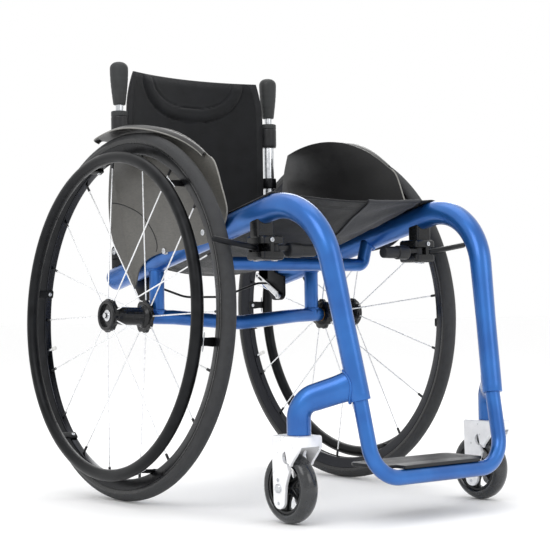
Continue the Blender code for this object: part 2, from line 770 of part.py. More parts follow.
def axle_pin():
    head_low = RECESS_FLOOR + RUN_GAP
    head_top = head_low + PIN_HEAD_T
    inner_end = TUBE_END - SLEEVE_LENGTH - 0.002
    pin = rod(PIN_R, (0, 0, inner_end), (0, 0, head_low + PIN_HEAD_T / 2), ROUND)
    head = rod(PIN_HEAD_R, (0, 0, head_low), (0, 0, head_top), ROUND)
    bore = rod(wide(BUTTON_R + RUN_GAP), (0, 0, head_top - 2 * PIN_HEAD_T - BUTTON_TRAVEL - RUN_GAP),
               (0, 0, head_top + PIN_HEAD_T), ROUND)
    return cut(fuse(pin, head), bore)


def button():
    head_top = RECESS_FLOOR + RUN_GAP + PIN_HEAD_T
    edge = BUTTON_OUT / 5
    top = head_top + BUTTON_OUT
    return turned([(0, head_top - 2 * PIN_HEAD_T), (BUTTON_R, head_top - 2 * PIN_HEAD_T), (BUTTON_R, top - edge),
                   (BUTTON_R - edge, top), (0, top)])


def axle_sleeve():
    bore = wide(PIN_R + SEAT_GAP)
    inside = AXLE_TUBE_R - AXLE_TUBE_WALL - SEAT_GAP
    body = inside * math.cos(math.pi / ROUND)
    low = TUBE_END - SLEEVE_LENGTH
    return turned([(bore, low), (body, low), (body, TUBE_END + SEAT_GAP), (AXLE_TUBE_R, TUBE_END + SEAT_GAP),
                   (AXLE_TUBE_R, HUB_INNER - RUN_GAP), (bore, HUB_INNER - RUN_GAP)])


def rear_wheel(side, word):
    spin = bpy.data.objects.new("wheel_spin_" + word, None)
    spin.location = (side * HUB_X, 0, HUB_Z)
    spin.rotation_euler = (0, wheel_turn(side), 0)
    spin.parent = chair
    bpy.context.collection.objects.link(spin)
    finish(tyre(), "tyre_" + word, TYRE_RUBBER, None, spin)
    finish(rim(side), "rim_" + word, BLACK_ANODISED, None, spin)
    finish(handrim(side), "handrim_" + word, BLACK_ANODISED, None, spin)
    finish(hub(side), "hub_and_spokes_" + word, BLACK_ANODISED, None, spin)
    finish(hub_bearing(), "hub_bearing_" + word, STAINLESS, None, spin)
    push = finish(button(), "release_button_" + word, POLISHED_ALUMINIUM)
    push.location = spin.location
    push.rotation_euler = spin.rotation_euler
    for piece, name, finish_material in ((axle_pin(), "quick_release_axle_", POLISHED_ALUMINIUM),
                                         (axle_sleeve(), "axle_sleeve_", BRONZE)):
        piece.data.transform(wheel_place(side))
        finish(piece, name + word, finish_material)


# Axle tube, struts and cross tube

def axle_path():
    """Straight along each wheel's axle at its ends, and lower in the middle."""
    points = []
    for side in (1, -1):
        place = wheel_place(side)
        ends = [place @ Vector((0, 0, TUBE_END)), place @ Vector((0, 0, TUBE_END - SLEEVE_LENGTH - 0.006))]
        points += ends if side == 1 else ends[::-1]
    points.insert(2, Vector((0, 0, HUB_Z - AXLE_DROP)))
    return round_path(points, [AXLE_BEND / 2, AXLE_BEND, AXLE_BEND / 2])


def lengthened(path, more):
    """A path whose two ends go on in their own directions."""
    ends = [path[0] + (path[0] - path[1]).normalized() * more,
            path[-1] + (path[-1] - path[-2]).normalized() * more]
    return [ends[0]] + path[1:-1] + [ends[1]]


def axle_tube():
    path = axle_path()
    bore = run(lengthened(path, AXLE_TUBE_WALL), wide(AXLE_TUBE_R - AXLE_TUBE_WALL))
    finish(cut(run(path, AXLE_TUBE_R), bore), "axle_tube", FRAME_BLUE)


def axle_strut(side, word):
    top = rail_at(0, side)
    foot = HUB_Z - (HUB_X - abs(top.x)) * math.tan(CAMBER)
    strut = rod(STRUT_R, (top.x, 0, foot), top, ROUND)
    cut(strut, side_outside(side, SEAT_GAP), run(axle_path(), AXLE_TUBE_R + SEAT_GAP))
    finish(strut, "axle_strut_" + word, FRAME_BLUE)


def cross_tube():
    points = []
    for side in (1, -1):
        bent = [rail_at(CROSS_Y, side), Vector((side * CROSS_BEND_X, CROSS_Y, CROSS_Z))]
        points += bent if side == 1 else bent[::-1]
    tube = run(round_path(points, [CROSS_BEND, CROSS_BEND]), CROSS_R)
    finish(cut(tube, side_outside(1, SEAT_GAP), side_outside(-1, SEAT_GAP)), "cross_tube", FRAME_BLUE)


# Seat sling and flap

def sheet(inner, outer):
    """A closed sheet between two grids of points, with strips round its four edges."""
    rows = len(inner)
    columns = len(inner[0])
    verts = [p for row in inner for p in row] + [p for row in outer for p in row]
    far = rows * columns
    faces = []
    for i in range(rows - 1):
        for j in range(columns - 1):
            a = i * columns + j
            quad = (a, a + 1, a + columns + 1, a + columns)
            faces.append(quad)
            faces.append(tuple(far + v for v in reversed(quad)))
    edge = [j for j in range(columns)] + [(i + 1) * columns - 1 for i in range(1, rows)]
    edge += [far - 1 - j for j in range(1, columns)] + [i * columns for i in range(rows - 2, 0, -1)]
    for a, b in zip(edge, edge[1:] + edge[:1]):
        faces.append((b, a, far + a, far + b))
    return mesh_object("sheet", verts, faces)


def hang_slope(y):
    """The sling's angle where it leaves the rails: nearly level in front, steepest in the middle."""
    if y < SLING_DEEPEST:
        share = (y - SLING_FRONT) / (SLING_DEEPEST - SLING_FRONT)
        return SLING_HANG_FRONT + (SLING_HANG - SLING_HANG_FRONT) * math.sin(share * math.pi / 2)
    share = (y - SLING_DEEPEST) / (SLING_REAR - SLING_DEEPEST)
    return SLING_HANG + (SLING_HANG_REAR - SLING_HANG) * share


def fold(x, y):
    """Soft folds that run in from each front corner of the sling."""
    corner = Vector((KNEE.x, SLING_FRONT))
    way = Vector((abs(x), y)) - corner
    distance = way.length
    if distance < 0.015 or distance > 0.17:
        return 0.0
    angle = math.atan2(way.y, -way.x)
    fade = math.sin((distance - 0.015) / 0.155 * math.pi)
    return FOLD_H * fade * (0.5 - 0.5 * math.cos(angle * FOLDS * 4)) * min(1.0, -way.x / 0.03)


def sling_hang(y):
    """Where the sling leaves the rail, and how far its middle hangs below that."""
    rail = rail_at(y)
    r = RAIL_R + SEAT_GAP + SLING_T / 2
    slope = hang_slope(y)
    x = rail.x - r * math.sin(slope)
    z = rail.z + r * RAIL_RISE * math.cos(slope)
    return x, z, x * RAIL_RISE * math.tan(slope) / 2


def sling_z(x, y):
    """The height of the sling's middle layer between the rails."""
    edge, z, sag = sling_hang(y)
    return z - sag + sag * (x / edge) ** 2 + fold(x, y)


def sling_section(y):
    """The middle layer of the sling at a place along the chair, from its left edge to its right."""
    rail = rail_at(y)
    step = (SLING_LAP + hang_slope(y)) / SLING_LAP_STEPS
    r = (RAIL_R + SEAT_GAP) / math.cos(step / 2) + SLING_T / 2
    edge = sling_hang(y)[0]
    lap = []
    for i in range(SLING_LAP_STEPS):
        a = step * i - SLING_LAP
        lap.append((rail.x - r * math.sin(a), rail.z + r * RAIL_RISE * math.cos(a)))
    across = [edge * (1 - 2 * i / SLING_COLUMNS) for i in range(SLING_COLUMNS + 1)]
    return lap + [(x, sling_z(x, y)) for x in across] + [(-x, z) for x, z in reversed(lap)]


def sling_layer(offset):
    """A grid of points of the sling, moved along its normals in each section."""
    rows = []
    for i in range(SLING_ROWS + 1):
        y = SLING_FRONT + (SLING_REAR - SLING_FRONT) * i / SLING_ROWS
        line = sling_section(y)
        row = []
        for k, (x, z) in enumerate(line):
            a = line[max(k - 1, 0)]
            b = line[min(k + 1, len(line) - 1)]
            row.append(Vector((x, y, z)) + Vector((b[1] - a[1], 0, a[0] - b[0])).normalized() * offset)
        rows.append(row)
    return rows


def seat_sling():
    finish(sheet(sling_layer(SLING_T / 2), sling_layer(-SLING_T / 2)), "seat_sling", SEAT_NYLON)


def flap_line(column, offset, ahead):
    """One column of the flap: over the top of the sling's front edge, and back under it."""
    top = sling_layer(SLING_T / 2 + offset)
    under = sling_layer(-SLING_T / 2 - offset)
    lap = FLAP_TOP * SLING_ROWS / (SLING_REAR - SLING_FRONT)
    line = [top[0][column].lerp(top[1][column], lap), top[0][column].copy(), under[0][column].copy()]
    line[1].y = line[2].y = SLING_FRONT - ahead
    last = under[FLAP_ROWS][column].lerp(under[FLAP_ROWS + 1][column], 0.5)
    return line + [under[i][column] for i in range(1, FLAP_ROWS + 1)] + [last]


def seat_flap():
    columns = range(SLING_LAP_STEPS + 1, SLING_LAP_STEPS + SLING_COLUMNS // 2)
    inner = [flap_line(k, FLAP_GAP, FLAP_GAP) for k in columns]
    outer = [flap_line(k, FLAP_GAP + FLAP_T, FLAP_GAP + FLAP_T) for k in columns]
    finish(sheet(inner, outer), "seat_flap", FLAP_GREY)


# Backrest: hinged posts, clamps, push handles and the upholstery between them

def backrest_hinge():
    hinge = bpy.data.objects.new("backrest_hinge", None)
    hinge.location = (0, HINGE_Y, HINGE_Z)
    hinge.parent = chair
    bpy.context.collection.objects.link(hinge)
    return hinge


def on_hinge(piece, name, finish_material, hinge):
    return finish(piece, name, finish_material, (0, HINGE_Y, HINGE_Z), hinge)


def backrest_post(side, word, hinge):
    x = side * POST_X
    post = rod(POST_R, (x, HINGE_Y, HINGE_Z), (x, HINGE_Y, POST_TOP), ROUND)
    block = rod(POST_BLOCK_R, (x, HINGE_Y, POST_BLOCK[0]), (x, HINGE_Y, POST_BLOCK[1]), ROUND)
    knuckle = rod(KNUCKLE_R, (x - KNUCKLE_W / 2, HINGE_Y, HINGE_Z), (x + KNUCKLE_W / 2, HINGE_Y, HINGE_Z), ROUND)
    hole = rod(wide(HINGE_PIN_R + RUN_GAP), (x - KNUCKLE_W, HINGE_Y, HINGE_Z),
               (x + KNUCKLE_W, HINGE_Y, HINGE_Z), ROUND)
    low = CLAMP_TOP - HANDLE_INSERT - 2 * RUN_GAP
    bore = rod(wide(HANDLE_R + RUN_GAP), (x, HINGE_Y, low), (x, HINGE_Y, POST_TOP + POST_R), ROUND)
    on_hinge(cut(fuse(post, block, knuckle), hole, bore), "backrest_post_" + word, STAINLESS, hinge)


def handle_clamp(side, word, hinge):
    lower = wide(POST_R + SEAT_GAP)
    upper = wide(HANDLE_R + RUN_GAP)
    edge = CLAMP_R * 0.12
    step = POST_TOP + SEAT_GAP
    ring = turned([(lower, CLAMP_BOTTOM), (CLAMP_R - edge, CLAMP_BOTTOM), (CLAMP_R, CLAMP_BOTTOM + edge),
                   (CLAMP_R, CLAMP_TOP - edge), (CLAMP_R - edge, CLAMP_TOP), (upper, CLAMP_TOP), (upper, step),
                   (lower, step)])
    ring.data.transform(Matrix.Translation((side * POST_X, HINGE_Y, 0)))
    on_hinge(ring, "handle_clamp_" + word, BLACK_PLASTIC, hinge)


def push_handle(side, word, hinge):
    low = CLAMP_TOP - HANDLE_INSERT
    foot = NECK_TOP + GRIP_CHAMFER
    shoulder = GRIP_TOP - GRIP_DOME
    profile = [(0, low), (HANDLE_R, low), (HANDLE_R, NECK_TOP), (GRIP_R_LOW - GRIP_CHAMFER / 2, NECK_TOP),
               (GRIP_R_LOW, foot)]
    for i in range(1, 5):
        bulge = GRIP_R_LOW + (GRIP_R_HIGH - GRIP_R_LOW) * math.sin(i * math.pi / 8)
        profile.append((bulge, foot + (shoulder - foot) * i / 4))
    for i in range(1, 4):
        a = math.radians(26 * i)
        profile.append((GRIP_R_HIGH - GRIP_DOME * 0.8 * (1 - math.cos(a)), shoulder + GRIP_DOME * math.sin(a)))
    profile.append((0, GRIP_TOP))
    handle = turned(profile)
    handle.data.transform(Matrix.Translation((side * POST_X, HINGE_Y, 0)))
    finish(handle, "push_handle_" + word, FOAM_GRIP, (side * POST_X, HINGE_Y, CLAMP_TOP), hinge, 50.0)


def cloth_half(z):
    """Half the upholstery's width: drawn up to the clamps, and in at its upper corners."""
    half = POST_X - CLAMP_R * math.cos(math.pi / ROUND) - SEAT_GAP
    above = max(0.0, (z - CLAMP_TOP) / (CLOTH_TOP - CLAMP_TOP))
    return half - CLOTH_CORNER * above ** 2


def pad_rise(x, z):
    """The raised sewn band between the two arcs, and the flatter field inside it."""
    def inside(size):
        down = max(0.0, (CLOTH_TOP - 0.001 - z) / size[1])
        return (abs(x) / size[0]) ** 2.4 + down ** 2.0
    outer = min(max((1.0 - inside(PAD_OUTER)) / 0.22, 0.0), 1.0)
    inner = min(max((1.0 - inside(PAD_INNER)) / 0.26, 0.0), 1.0)
    return PAD_RISE * (outer - 0.6 * math.sin(inner * math.pi))


def upholstery(hinge):
    front = []
    back = []
    for i in range(CLOTH_ROWS + 1):
        v = i / CLOTH_ROWS
        z = CLOTH_BOTTOM + (CLOTH_TOP - CLOTH_BOTTOM) * v ** 0.8
        half = cloth_half(z)
        near = []
        away = []
        for j in range(CLOTH_COLUMNS + 1):
            u = 2 * j / CLOTH_COLUMNS - 1
            middle = HINGE_Y + CLOTH_BOW * (1 - u * u)
            rim_fade = min(1.0, (1 - abs(u)) / 0.12) * min(1.0, v / 0.05) * min(1.0, (1 - v) / 0.05)
            thick = CLOTH_T / 2 * (0.45 + 0.55 * rim_fade)
            crown = CLOTH_CROWN * (1 - u * u) * math.sin(math.pi * v) + pad_rise(u * half, z)
            near.append(Vector((u * half, middle - thick - crown, z)))
            away.append(Vector((u * half, middle + thick, z)))
        front.append(near)
        back.append(away)
    on_hinge(sheet(front, back), "backrest_upholstery", BACK_CLOTH, hinge)


def spread(side, a, b):
    return tuple(sorted((side * a, side * b)))


def backrest_bracket(side, word):
    """A saddle on the rail with two cheeks, the hinge pin, and a plate that carries the latch."""
    inner = POST_X - KNUCKLE_W / 2 - RUN_GAP
    outer = POST_X + KNUCKLE_W / 2 + RUN_GAP
    top = HINGE_Z - KNUCKLE_R - 2 * RUN_GAP
    saddle = box(spread(side, PLATE_INNER_X, outer + CHEEK_T), (HINGE_Y - 0.020, HINGE_Y + KNUCKLE_R - 0.001),
                 (RAIL_REAR.z, top))
    ear = arc((HINGE_Y, HINGE_Z), KNUCKLE_R - 0.001, 0, 180, 8)
    ear += [(HINGE_Y - KNUCKLE_R + 0.001, top - 0.003), (HINGE_Y + KNUCKLE_R - 0.001 - 0.0002, top - 0.003)]
    cheeks = [slab(ear, *spread(side, inner - CHEEK_T, inner)), slab(ear, *spread(side, outer, outer + CHEEK_T))]
    pin = rod(HINGE_PIN_R, (side * (inner - CHEEK_T / 2), HINGE_Y, HINGE_Z),
              (side * (outer + CHEEK_T / 2), HINGE_Y, HINGE_Z), ROUND)
    pivot_y, pivot_z = LATCH_PIVOT.y, LATCH_PIVOT.z
    plate = [(HINGE_Y + 0.009, top - 0.001), (HINGE_Y + 0.009, RAIL_REAR.z + 0.012), (HINGE_Y - 0.012, 0.347)]
    plate += arc((pivot_y + 0.016, pivot_z + 0.004), 0.012, -20, -90, 3)
    plate += arc((pivot_y - 0.002, pivot_z + 0.004), 0.012, -90, -180, 3)
    plate += [(pivot_y - 0.014, 0.362), (SLING_REAR + 0.006, 0.370), (SLING_REAR + 0.016, top - 0.001)]
    wing = slab(plate, *spread(side, PLATE_INNER_X, PLATE_INNER_X + CHEEK_T))
    latch_end = PLATE_INNER_X - LATCH_T - 3 * RUN_GAP
    boss = rod(LATCH_PIN_R, (side * (PLATE_INNER_X + CHEEK_T / 2), pivot_y, pivot_z),
               (side * (latch_end - 0.001), pivot_y, pivot_z))
    head = rod(2 * LATCH_PIN_R, (side * latch_end, pivot_y, pivot_z),
               (side * (latch_end - CHEEK_T / 2), pivot_y, pivot_z))
    bracket = cut(fuse(saddle, *cheeks, pin, wing, boss, head), side_outside(side, SEAT_GAP))
    finish(bracket, "backrest_bracket_" + word, BLACK_ANODISED)


def release_bail():
    middle_x = PLATE_INNER_X - RUN_GAP - LATCH_T / 2
    way = LATCH_TAIL - LATCH_PIVOT
    ends_z = LATCH_PIVOT.z + way.z * (BAIL_Y - LATCH_PIVOT.y) / way.y
    points = [Vector((x, BAIL_Y, z)) for x, z in ((middle_x, ends_z), (middle_x - 0.018, ends_z),
                                                  (0.040, BAIL_MIDDLE_Z), (-0.040, BAIL_MIDDLE_Z),
                                                  (0.018 - middle_x, ends_z), (-middle_x, ends_z))]
    bail = run(round_path(points, [0.03, 0.08, 0.08, 0.03]), BAIL_R, 6)
    half = 2 * LATCH_PIN_R - 0.0002
    tilt = math.degrees(math.atan2(way.z, way.y))
    outline = arc((LATCH_PIVOT.y, LATCH_PIVOT.z), half, tilt + 90, tilt + 270, 4)
    outline += arc((LATCH_TAIL.y, LATCH_TAIL.z), half * 0.8, tilt - 90, tilt + 90, 4)
    slot = arc((LATCH_TAIL.y, LATCH_TAIL.z), LATCH_PIN_R * 0.7, tilt - 90, tilt + 90, 4)
    near_tail = LATCH_TAIL - way * 0.22
    slot += arc((near_tail.y, near_tail.z), LATCH_PIN_R * 0.7, tilt + 90, tilt + 270, 4)
    for side in (1, -1):
        place = spread(side, middle_x - LATCH_T / 2, middle_x + LATCH_T / 2)
        arm = slab(outline, *place)
        hole = rod(wide(LATCH_PIN_R + RUN_GAP), (place[0] - LATCH_T, LATCH_PIVOT.y, LATCH_PIVOT.z),
                   (place[1] + LATCH_T, LATCH_PIVOT.y, LATCH_PIVOT.z), ROUND)
        fuse(bail, cut(arm, hole, slab(slot, place[0] - LATCH_T, place[1] + LATCH_T)))
    finish(bail, "release_bail", BLACK_ANODISED, LATCH_PIVOT)


# Side guards

def crest_point(angle, radius=GUARD_CREST):
    """A point over the axle in the (y, z) plane, its angle towards the back."""
    return (radius * math.sin(angle), HUB_Z + radius * math.cos(angle))


def guard_outline():
    turns = [i / FLARE_STEPS for i in range(FLARE_STEPS + 1)]
    crest = [crest_point(GUARD_REAR - (GUARD_REAR + GUARD_FRONT) * t) for t in turns]
    front = [(-0.199, 0.529), (-0.209, 0.512), (-0.218, 0.490), (-0.228, 0.466), (-0.232, 0.447),
             (-0.222, 0.428), (-0.192, 0.408)]
    under = [(-0.160, 0.402), (-0.107, 0.397), (-0.046, 0.394), (-0.008, 0.385), (0.015, 0.370),
             (0.026, 0.347), (0.036, 0.341)]
    rear = [(0.069, 0.382), (0.087, 0.404), (0.104, 0.439), (0.110, 0.481), (0.108, 0.520), (0.102, 0.555)]
    return crest + front + under + rear


def guard_flare(side):
    """The lip that curls outwards over the tyre, full at the back and narrow in front."""
    curl = [(0.0, -0.016), (0.002, -0.008), (0.013, -0.0012), (0.026, 0.0006), (0.038, 0.0002), (FLARE_OUT, -0.0045)]
    inner = []
    outer = []
    for i in range(FLARE_STEPS + 1):
        t = i / FLARE_STEPS
        angle = GUARD_REAR - 0.004 - (GUARD_REAR + GUARD_FRONT - 0.008) * t
        ahead = min(max((t - 0.30) / 0.70, 0.0), 1.0)
        width = 1 - 0.86 * ahead * ahead * (3 - 2 * ahead)
        near = []
        away = []
        for k, (x, r) in enumerate(curl):
            a = curl[max(k - 1, 0)]
            b = curl[min(k + 1, len(curl) - 1)]
            normal = Vector((a[1] - b[1], (b[0] - a[0]) * max(width, 0.3))).normalized() * GUARD_T * 0.35
            for line, way in ((near, -1), (away, 1)):
                y, z = crest_point(angle, GUARD_CREST + r + way * normal.y)
                line.append(Vector((side * (GUARD_X + x * width + way * normal.x), y, z)))
        inner.append(near)
        outer.append(away)
    return sheet(inner, outer)


def side_guard(side, word):
    panel = slab(guard_outline(), *spread(side, GUARD_X - GUARD_T / 2, GUARD_X + GUARD_T / 2))
    pegs = []
    for y in GUARD_PEGS:
        rail = rail_at(y, side)
        pegs.append(rod(PEG_R, rail, (side * GUARD_X, rail.y, rail.z)))
    fuse(panel, guard_flare(side), *pegs)
    finish(cut(panel, side_outside(side, SEAT_GAP)), "side_guard_" + word, GUARD_GREY)


# Brakes

def brake_body(side, word):
    rail = rail_at(BRAKE_Y, side)
    low, high = BRAKE_SLOT_Z
    depth = (BRAKE_Y - BRAKE_BLOCK_D / 2, BRAKE_Y + BRAKE_BLOCK_D / 2)
    block = softened(box(spread(side, *BRAKE_BLOCK_X), depth, BRAKE_BLOCK_Z), 0.003, 1)
    grip = RAIL_R + BRAKE_SADDLE_T
    saddle = box((rail.x - grip, rail.x + grip), (BRAKE_Y - BRAKE_SADDLE_W / 2, BRAKE_Y + BRAKE_SADDLE_W / 2),
                 (BRAKE_BLOCK_Z[1] - 0.004, rail.z))
    saddle = softened(saddle, 0.004, 1)
    lever_x = LEVER_PIVOT.x + LEVER_HUB_R + BRAKE_ROOM
    lever_y = LEVER_PIVOT.y + LEVER_HUB_R + BRAKE_ROOM
    pusher_x = PUSHER_PIVOT.x - PUSHER_HUB_R - BRAKE_ROOM
    pusher_y = PUSHER_PIVOT.y + PUSHER_HUB_R + BRAKE_ROOM
    ahead = depth[0] - BRAKE_BLOCK_D
    lever_slot = box(spread(side, BRAKE_BLOCK_X[0] - 0.01, lever_x), (ahead, lever_y), (low, high))
    pusher_slot = box(spread(side, pusher_x, BRAKE_BLOCK_X[1] + 0.01), (ahead, pusher_y), (low, high))
    body = cut(fuse(block, saddle), side_outside(side, SEAT_GAP), lever_slot, pusher_slot)
    pins = [rod(BRAKE_PIN_R, (side * p.x, p.y, low - 0.003), (side * p.x, p.y, high + 0.003))
            for p in (LEVER_PIVOT, PUSHER_PIVOT)]
    finish(fuse(body, *pins), "brake_body_" + word, BLACK_ANODISED)


def pivot_disc(pivot, side, radius):
    low, high = BRAKE_SLOT_Z
    return rod(radius, (side * pivot.x, pivot.y, low + RUN_GAP), (side * pivot.x, pivot.y, high - RUN_GAP), ROUND)


def pivot_hole(pivot, side):
    low, high = BRAKE_SLOT_Z
    return rod(wide(BRAKE_PIN_R + RUN_GAP), (side * pivot.x, pivot.y, low - 0.01),
               (side * pivot.x, pivot.y, high + 0.01), ROUND)


def brake_lever(side, word):
    p = LEVER_PIVOT
    disc = pivot_disc(p, side, LEVER_HUB_R)
    arm = box(spread(side, KNOB_X[2] - 0.003, p.x), (p.y - 0.0045, p.y + 0.0045), (p.z - 0.0042, p.z + 0.0036))
    z = p.z - 0.003
    parts = []
    for (a, b), r in zip(((KNOB_X[0], KNOB_X[1] + 0.001), (KNOB_X[1], KNOB_X[2])), KNOB_R):
        parts.append(rod(r, (side * a, p.y, z), (side * b, p.y, z), ROUND))
    lever = cut(fuse(disc, arm, *parts), pivot_hole(p, side))
    finish(lever, "brake_lever_" + word, BLACK_PLASTIC, (side * p.x, p.y, p.z))


def brake_pusher(side, word):
    p = PUSHER_PIVOT
    disc = pivot_disc(p, side, PUSHER_HUB_R)
    way = [p + Vector((0.002, -0.0015, 0)), Vector((p.x + 0.0105, PUSHER_Y + 0.003, p.z)),
           Vector((p.x + 0.022, PUSHER_Y, p.z + 0.0015)), PUSHER_END]
    bar = run(round_path([mirrored(q, side) for q in way], [0.012, 0.02]), PUSHER_R)
    finish(cut(fuse(disc, bar), pivot_hole(p, side)), "brake_pusher_" + word, BLACK_ANODISED,
           (side * p.x, p.y, p.z))


# The chair

footrest()
footplate()
axle_tube()
cross_tube()
seat_sling()
seat_flap()
release_bail()
backrest = backrest_hinge()
upholstery(backrest)
for side, word in BOTH:
    side_tube(side, word)
    rail_end_cap(side, word)
    caster_arm(side, word)
    caster(side, word)
    rear_wheel(side, word)
    axle_strut(side, word)
    backrest_bracket(side, word)
    backrest_post(side, word, backrest)
    handle_clamp(side, word, backrest)
    push_handle(side, word, backrest)
    side_guard(side, word)
    brake_body(side, word)
    brake_lever(side, word)
    brake_pusher(side, word)
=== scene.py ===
"""Active wheelchair, dressed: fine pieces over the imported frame, studio light and the camera."""
import math

import bmesh
import bpy
from mathutils import Matrix, Vector, noise


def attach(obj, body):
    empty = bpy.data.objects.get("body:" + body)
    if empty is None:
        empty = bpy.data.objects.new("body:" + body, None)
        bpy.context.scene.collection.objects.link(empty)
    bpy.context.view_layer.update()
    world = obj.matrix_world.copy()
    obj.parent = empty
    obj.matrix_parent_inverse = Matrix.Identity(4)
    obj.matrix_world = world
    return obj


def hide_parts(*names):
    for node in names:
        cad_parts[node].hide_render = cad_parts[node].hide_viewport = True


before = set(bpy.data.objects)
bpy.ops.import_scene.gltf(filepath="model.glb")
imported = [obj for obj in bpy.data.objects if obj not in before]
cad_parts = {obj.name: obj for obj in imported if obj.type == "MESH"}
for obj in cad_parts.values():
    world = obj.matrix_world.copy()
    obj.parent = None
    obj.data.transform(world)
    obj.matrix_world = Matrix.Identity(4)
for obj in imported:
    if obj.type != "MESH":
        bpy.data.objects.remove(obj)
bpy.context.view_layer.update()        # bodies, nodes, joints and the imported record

# Real sizes, in metres, measured as the frame is: from the floor under the rear axle
TO_FRAME = Matrix.Translation((0.0, 0.102, 0.0))

# Rear wheels
WHEEL_R = 0.295
TYRE_R = 0.0125
CAMBER = math.radians(2.0)
HUB_X = 0.2228
TYRE_MID = WHEEL_R - TYRE_R
HUB_Z = TYRE_MID * math.cos(CAMBER) + TYRE_R
TREAD_RISE = 0.0004
RIM_EDGE = TYRE_MID - 0.0053
RIM_INNER = RIM_EDGE - 0.0172
RIM_HALF = 0.0115
HANDRIM_R = 0.253
HANDRIM_TUBE_R = 0.0095
HANDRIM_OUT = 0.034
SPOKES = 18
SPOKE_PHASE = {-1: math.radians(9.0), 1: math.radians(4.0)}
VALVE_TURN = math.radians(248.0)
HUB_END = 0.0385
HUB_FLOOR = 0.030
FLANGE_R = 0.027
NOTCH_DEPTH = 0.0026
TUBE_END = -HUB_END - 0.0021

# Seated pieces stand this far off each other
FIT = 0.0003

# Frame tubes
RAIL_R = 0.019
DOWN_R = 0.015
RAIL_REAR = Vector((0.164, 0.1265, 0.358))
KNEE = Vector((0.159, -0.4095, 0.4717))
DOWN_FOOT = Vector((0.1313, -0.4654, 0.172))
KNEE_BEND = 0.105
RAIL_SLOPE = (KNEE.z - RAIL_REAR.z) / (RAIL_REAR.y - KNEE.y)
RAIL_RISE = math.sqrt(1 + RAIL_SLOPE ** 2)
DOWN_WAY = (DOWN_FOOT - KNEE).normalized()
LEG_R = 0.011
FOOT_BAR = Vector((0.126, -0.488, 0.064))
AXLE_TUBE_R = 0.012
AXLE_TUBE_DROP = 0.0143
STRUT_R = 0.0122
CROSS_R = 0.0105
CROSS_CORNER = Vector((0.140, -0.165, 0.3745))

# Casters
HEAD = Vector((0.190, -0.402, 0.125))
HEAD_R = 0.017
CASTER_R = 0.0508
CASTER_AXLE = Vector((0.190, -0.381, CASTER_R))

# Seat sling: its wall, its ends along the chair, and how far it laps round the rails
SLING_T = 0.0024
SLING_FRONT = -0.314
SLING_REAR = 0.070
SLING_DEEPEST = -0.165
SLING_LAP = math.radians(36.0)
LAP_R = RAIL_R + FIT + SLING_T / 2

# Backrest. Each seam is an arc: half its width, and how far it hangs below the cloth's top
HINGE = Vector((0.0, 0.115, 0.405))
POST_X = 0.160
CLAMP_R = 0.0145
CLAMP_TOP = 0.645
CLOTH_LOW = 0.402
CLOTH_TOP = 0.717
CLOTH_BOW = 0.026
OUTER_SEAM = (0.108, 0.075)
INNER_SEAM = (0.086, 0.051)
SEAM_POWER = 2.4

# Latch arms and bail, side guards and their crest over the tyre, brakes
LATCH_PIVOT = Vector((0.1372, 0.062, 0.328))
LATCH_TAIL = Vector((0.1372, 0.124, 0.366))
BAIL_Y = 0.100
GUARD_X = 0.186
CREST_R = 0.306
CREST_FRONT = math.radians(36.5)
CREST_REAR = math.radians(17.2)
BRAKE_Y = -0.2835
SIDES = ((-1, "right"), (1, "left"))

# How near the axis a turned profile starts, before its points there are made one
AXIS_GAP = 1e-5


# Shapes

def new_object(name, data):
    """A mesh, a lamp or a camera as an object in the scene."""
    made = bpy.data.objects.new(name, data)
    bpy.context.collection.objects.link(made)
    return made


def outward(name, work):
    """The faces that were worked on as an object, every face turned outwards."""
    bmesh.ops.recalc_face_normals(work, faces=work.faces)
    mesh = bpy.data.meshes.new(name)
    work.to_mesh(mesh)
    work.free()
    return new_object(name, mesh)


def lengths_along(path):
    """How far along a path each of its points lies."""
    made = [0.0]
    for a, b in zip(path, path[1:]):
        made.append(made[-1] + (b - a).length)
    return made


def skin(name, grid, around=True, ring=False):
    """A mesh over rows of points with a UV map in metres: around closes each row, ring the whole."""
    rows, columns = len(grid), len(grid[0])
    down = [0.0]
    for a, b in zip(grid, grid[1:] + grid[:1]):
        down.append(down[-1] + max((p - q).length for p, q in zip(a, b)))
    widest = max(grid, key=lambda row: sum((p - q).length for p, q in zip(row, row[1:])))
    across = lengths_along(widest + widest[:1])
    work = bmesh.new()
    uv = work.loops.layers.uv.new("metres")
    points = [[work.verts.new(p) for p in row] for row in grid]
    for i in range(rows if ring else rows - 1):
        for j in range(columns if around else columns - 1):
            corners = ((i, j), (i, j + 1), (i + 1, j + 1), (i + 1, j))
            face = work.faces.new([points[a % rows][b % columns] for a, b in corners])
            for loop, (a, b) in zip(face.loops, corners):
                loop[uv].uv = (down[a], across[b])
    if around and not ring:
        work.faces.new(points[0][::-1])
        work.faces.new(points[-1])
    return outward(name, work)


def applied(piece):
    """The piece with its modifiers made real."""
    bpy.context.view_layer.update()
    shown = piece.evaluated_get(bpy.context.evaluated_depsgraph_get())
    piece.data = bpy.data.meshes.new_from_object(shown)
    piece.modifiers.clear()
    return piece


def merged(first, *others):
    """Several meshes as one object; each keeps its own closed skin and its material numbers."""
    work = bmesh.new()
    for part in (first, *others):
        work.from_mesh(part.data)
    work.to_mesh(first.data)
    work.free()
    for part in others:
        bpy.data.objects.remove(part, do_unlink=True)
    return first


def carved(piece, how, *tools):
    """Tools cut from, or joined to, a piece."""
    for tool in tools:
        step = piece.modifiers.new("carve", "BOOLEAN")
        step.operation = how
        step.solver = "EXACT"
        step.object = tool
    applied(piece)
    for tool in tools:
        bpy.data.objects.remove(tool, do_unlink=True)
    return piece


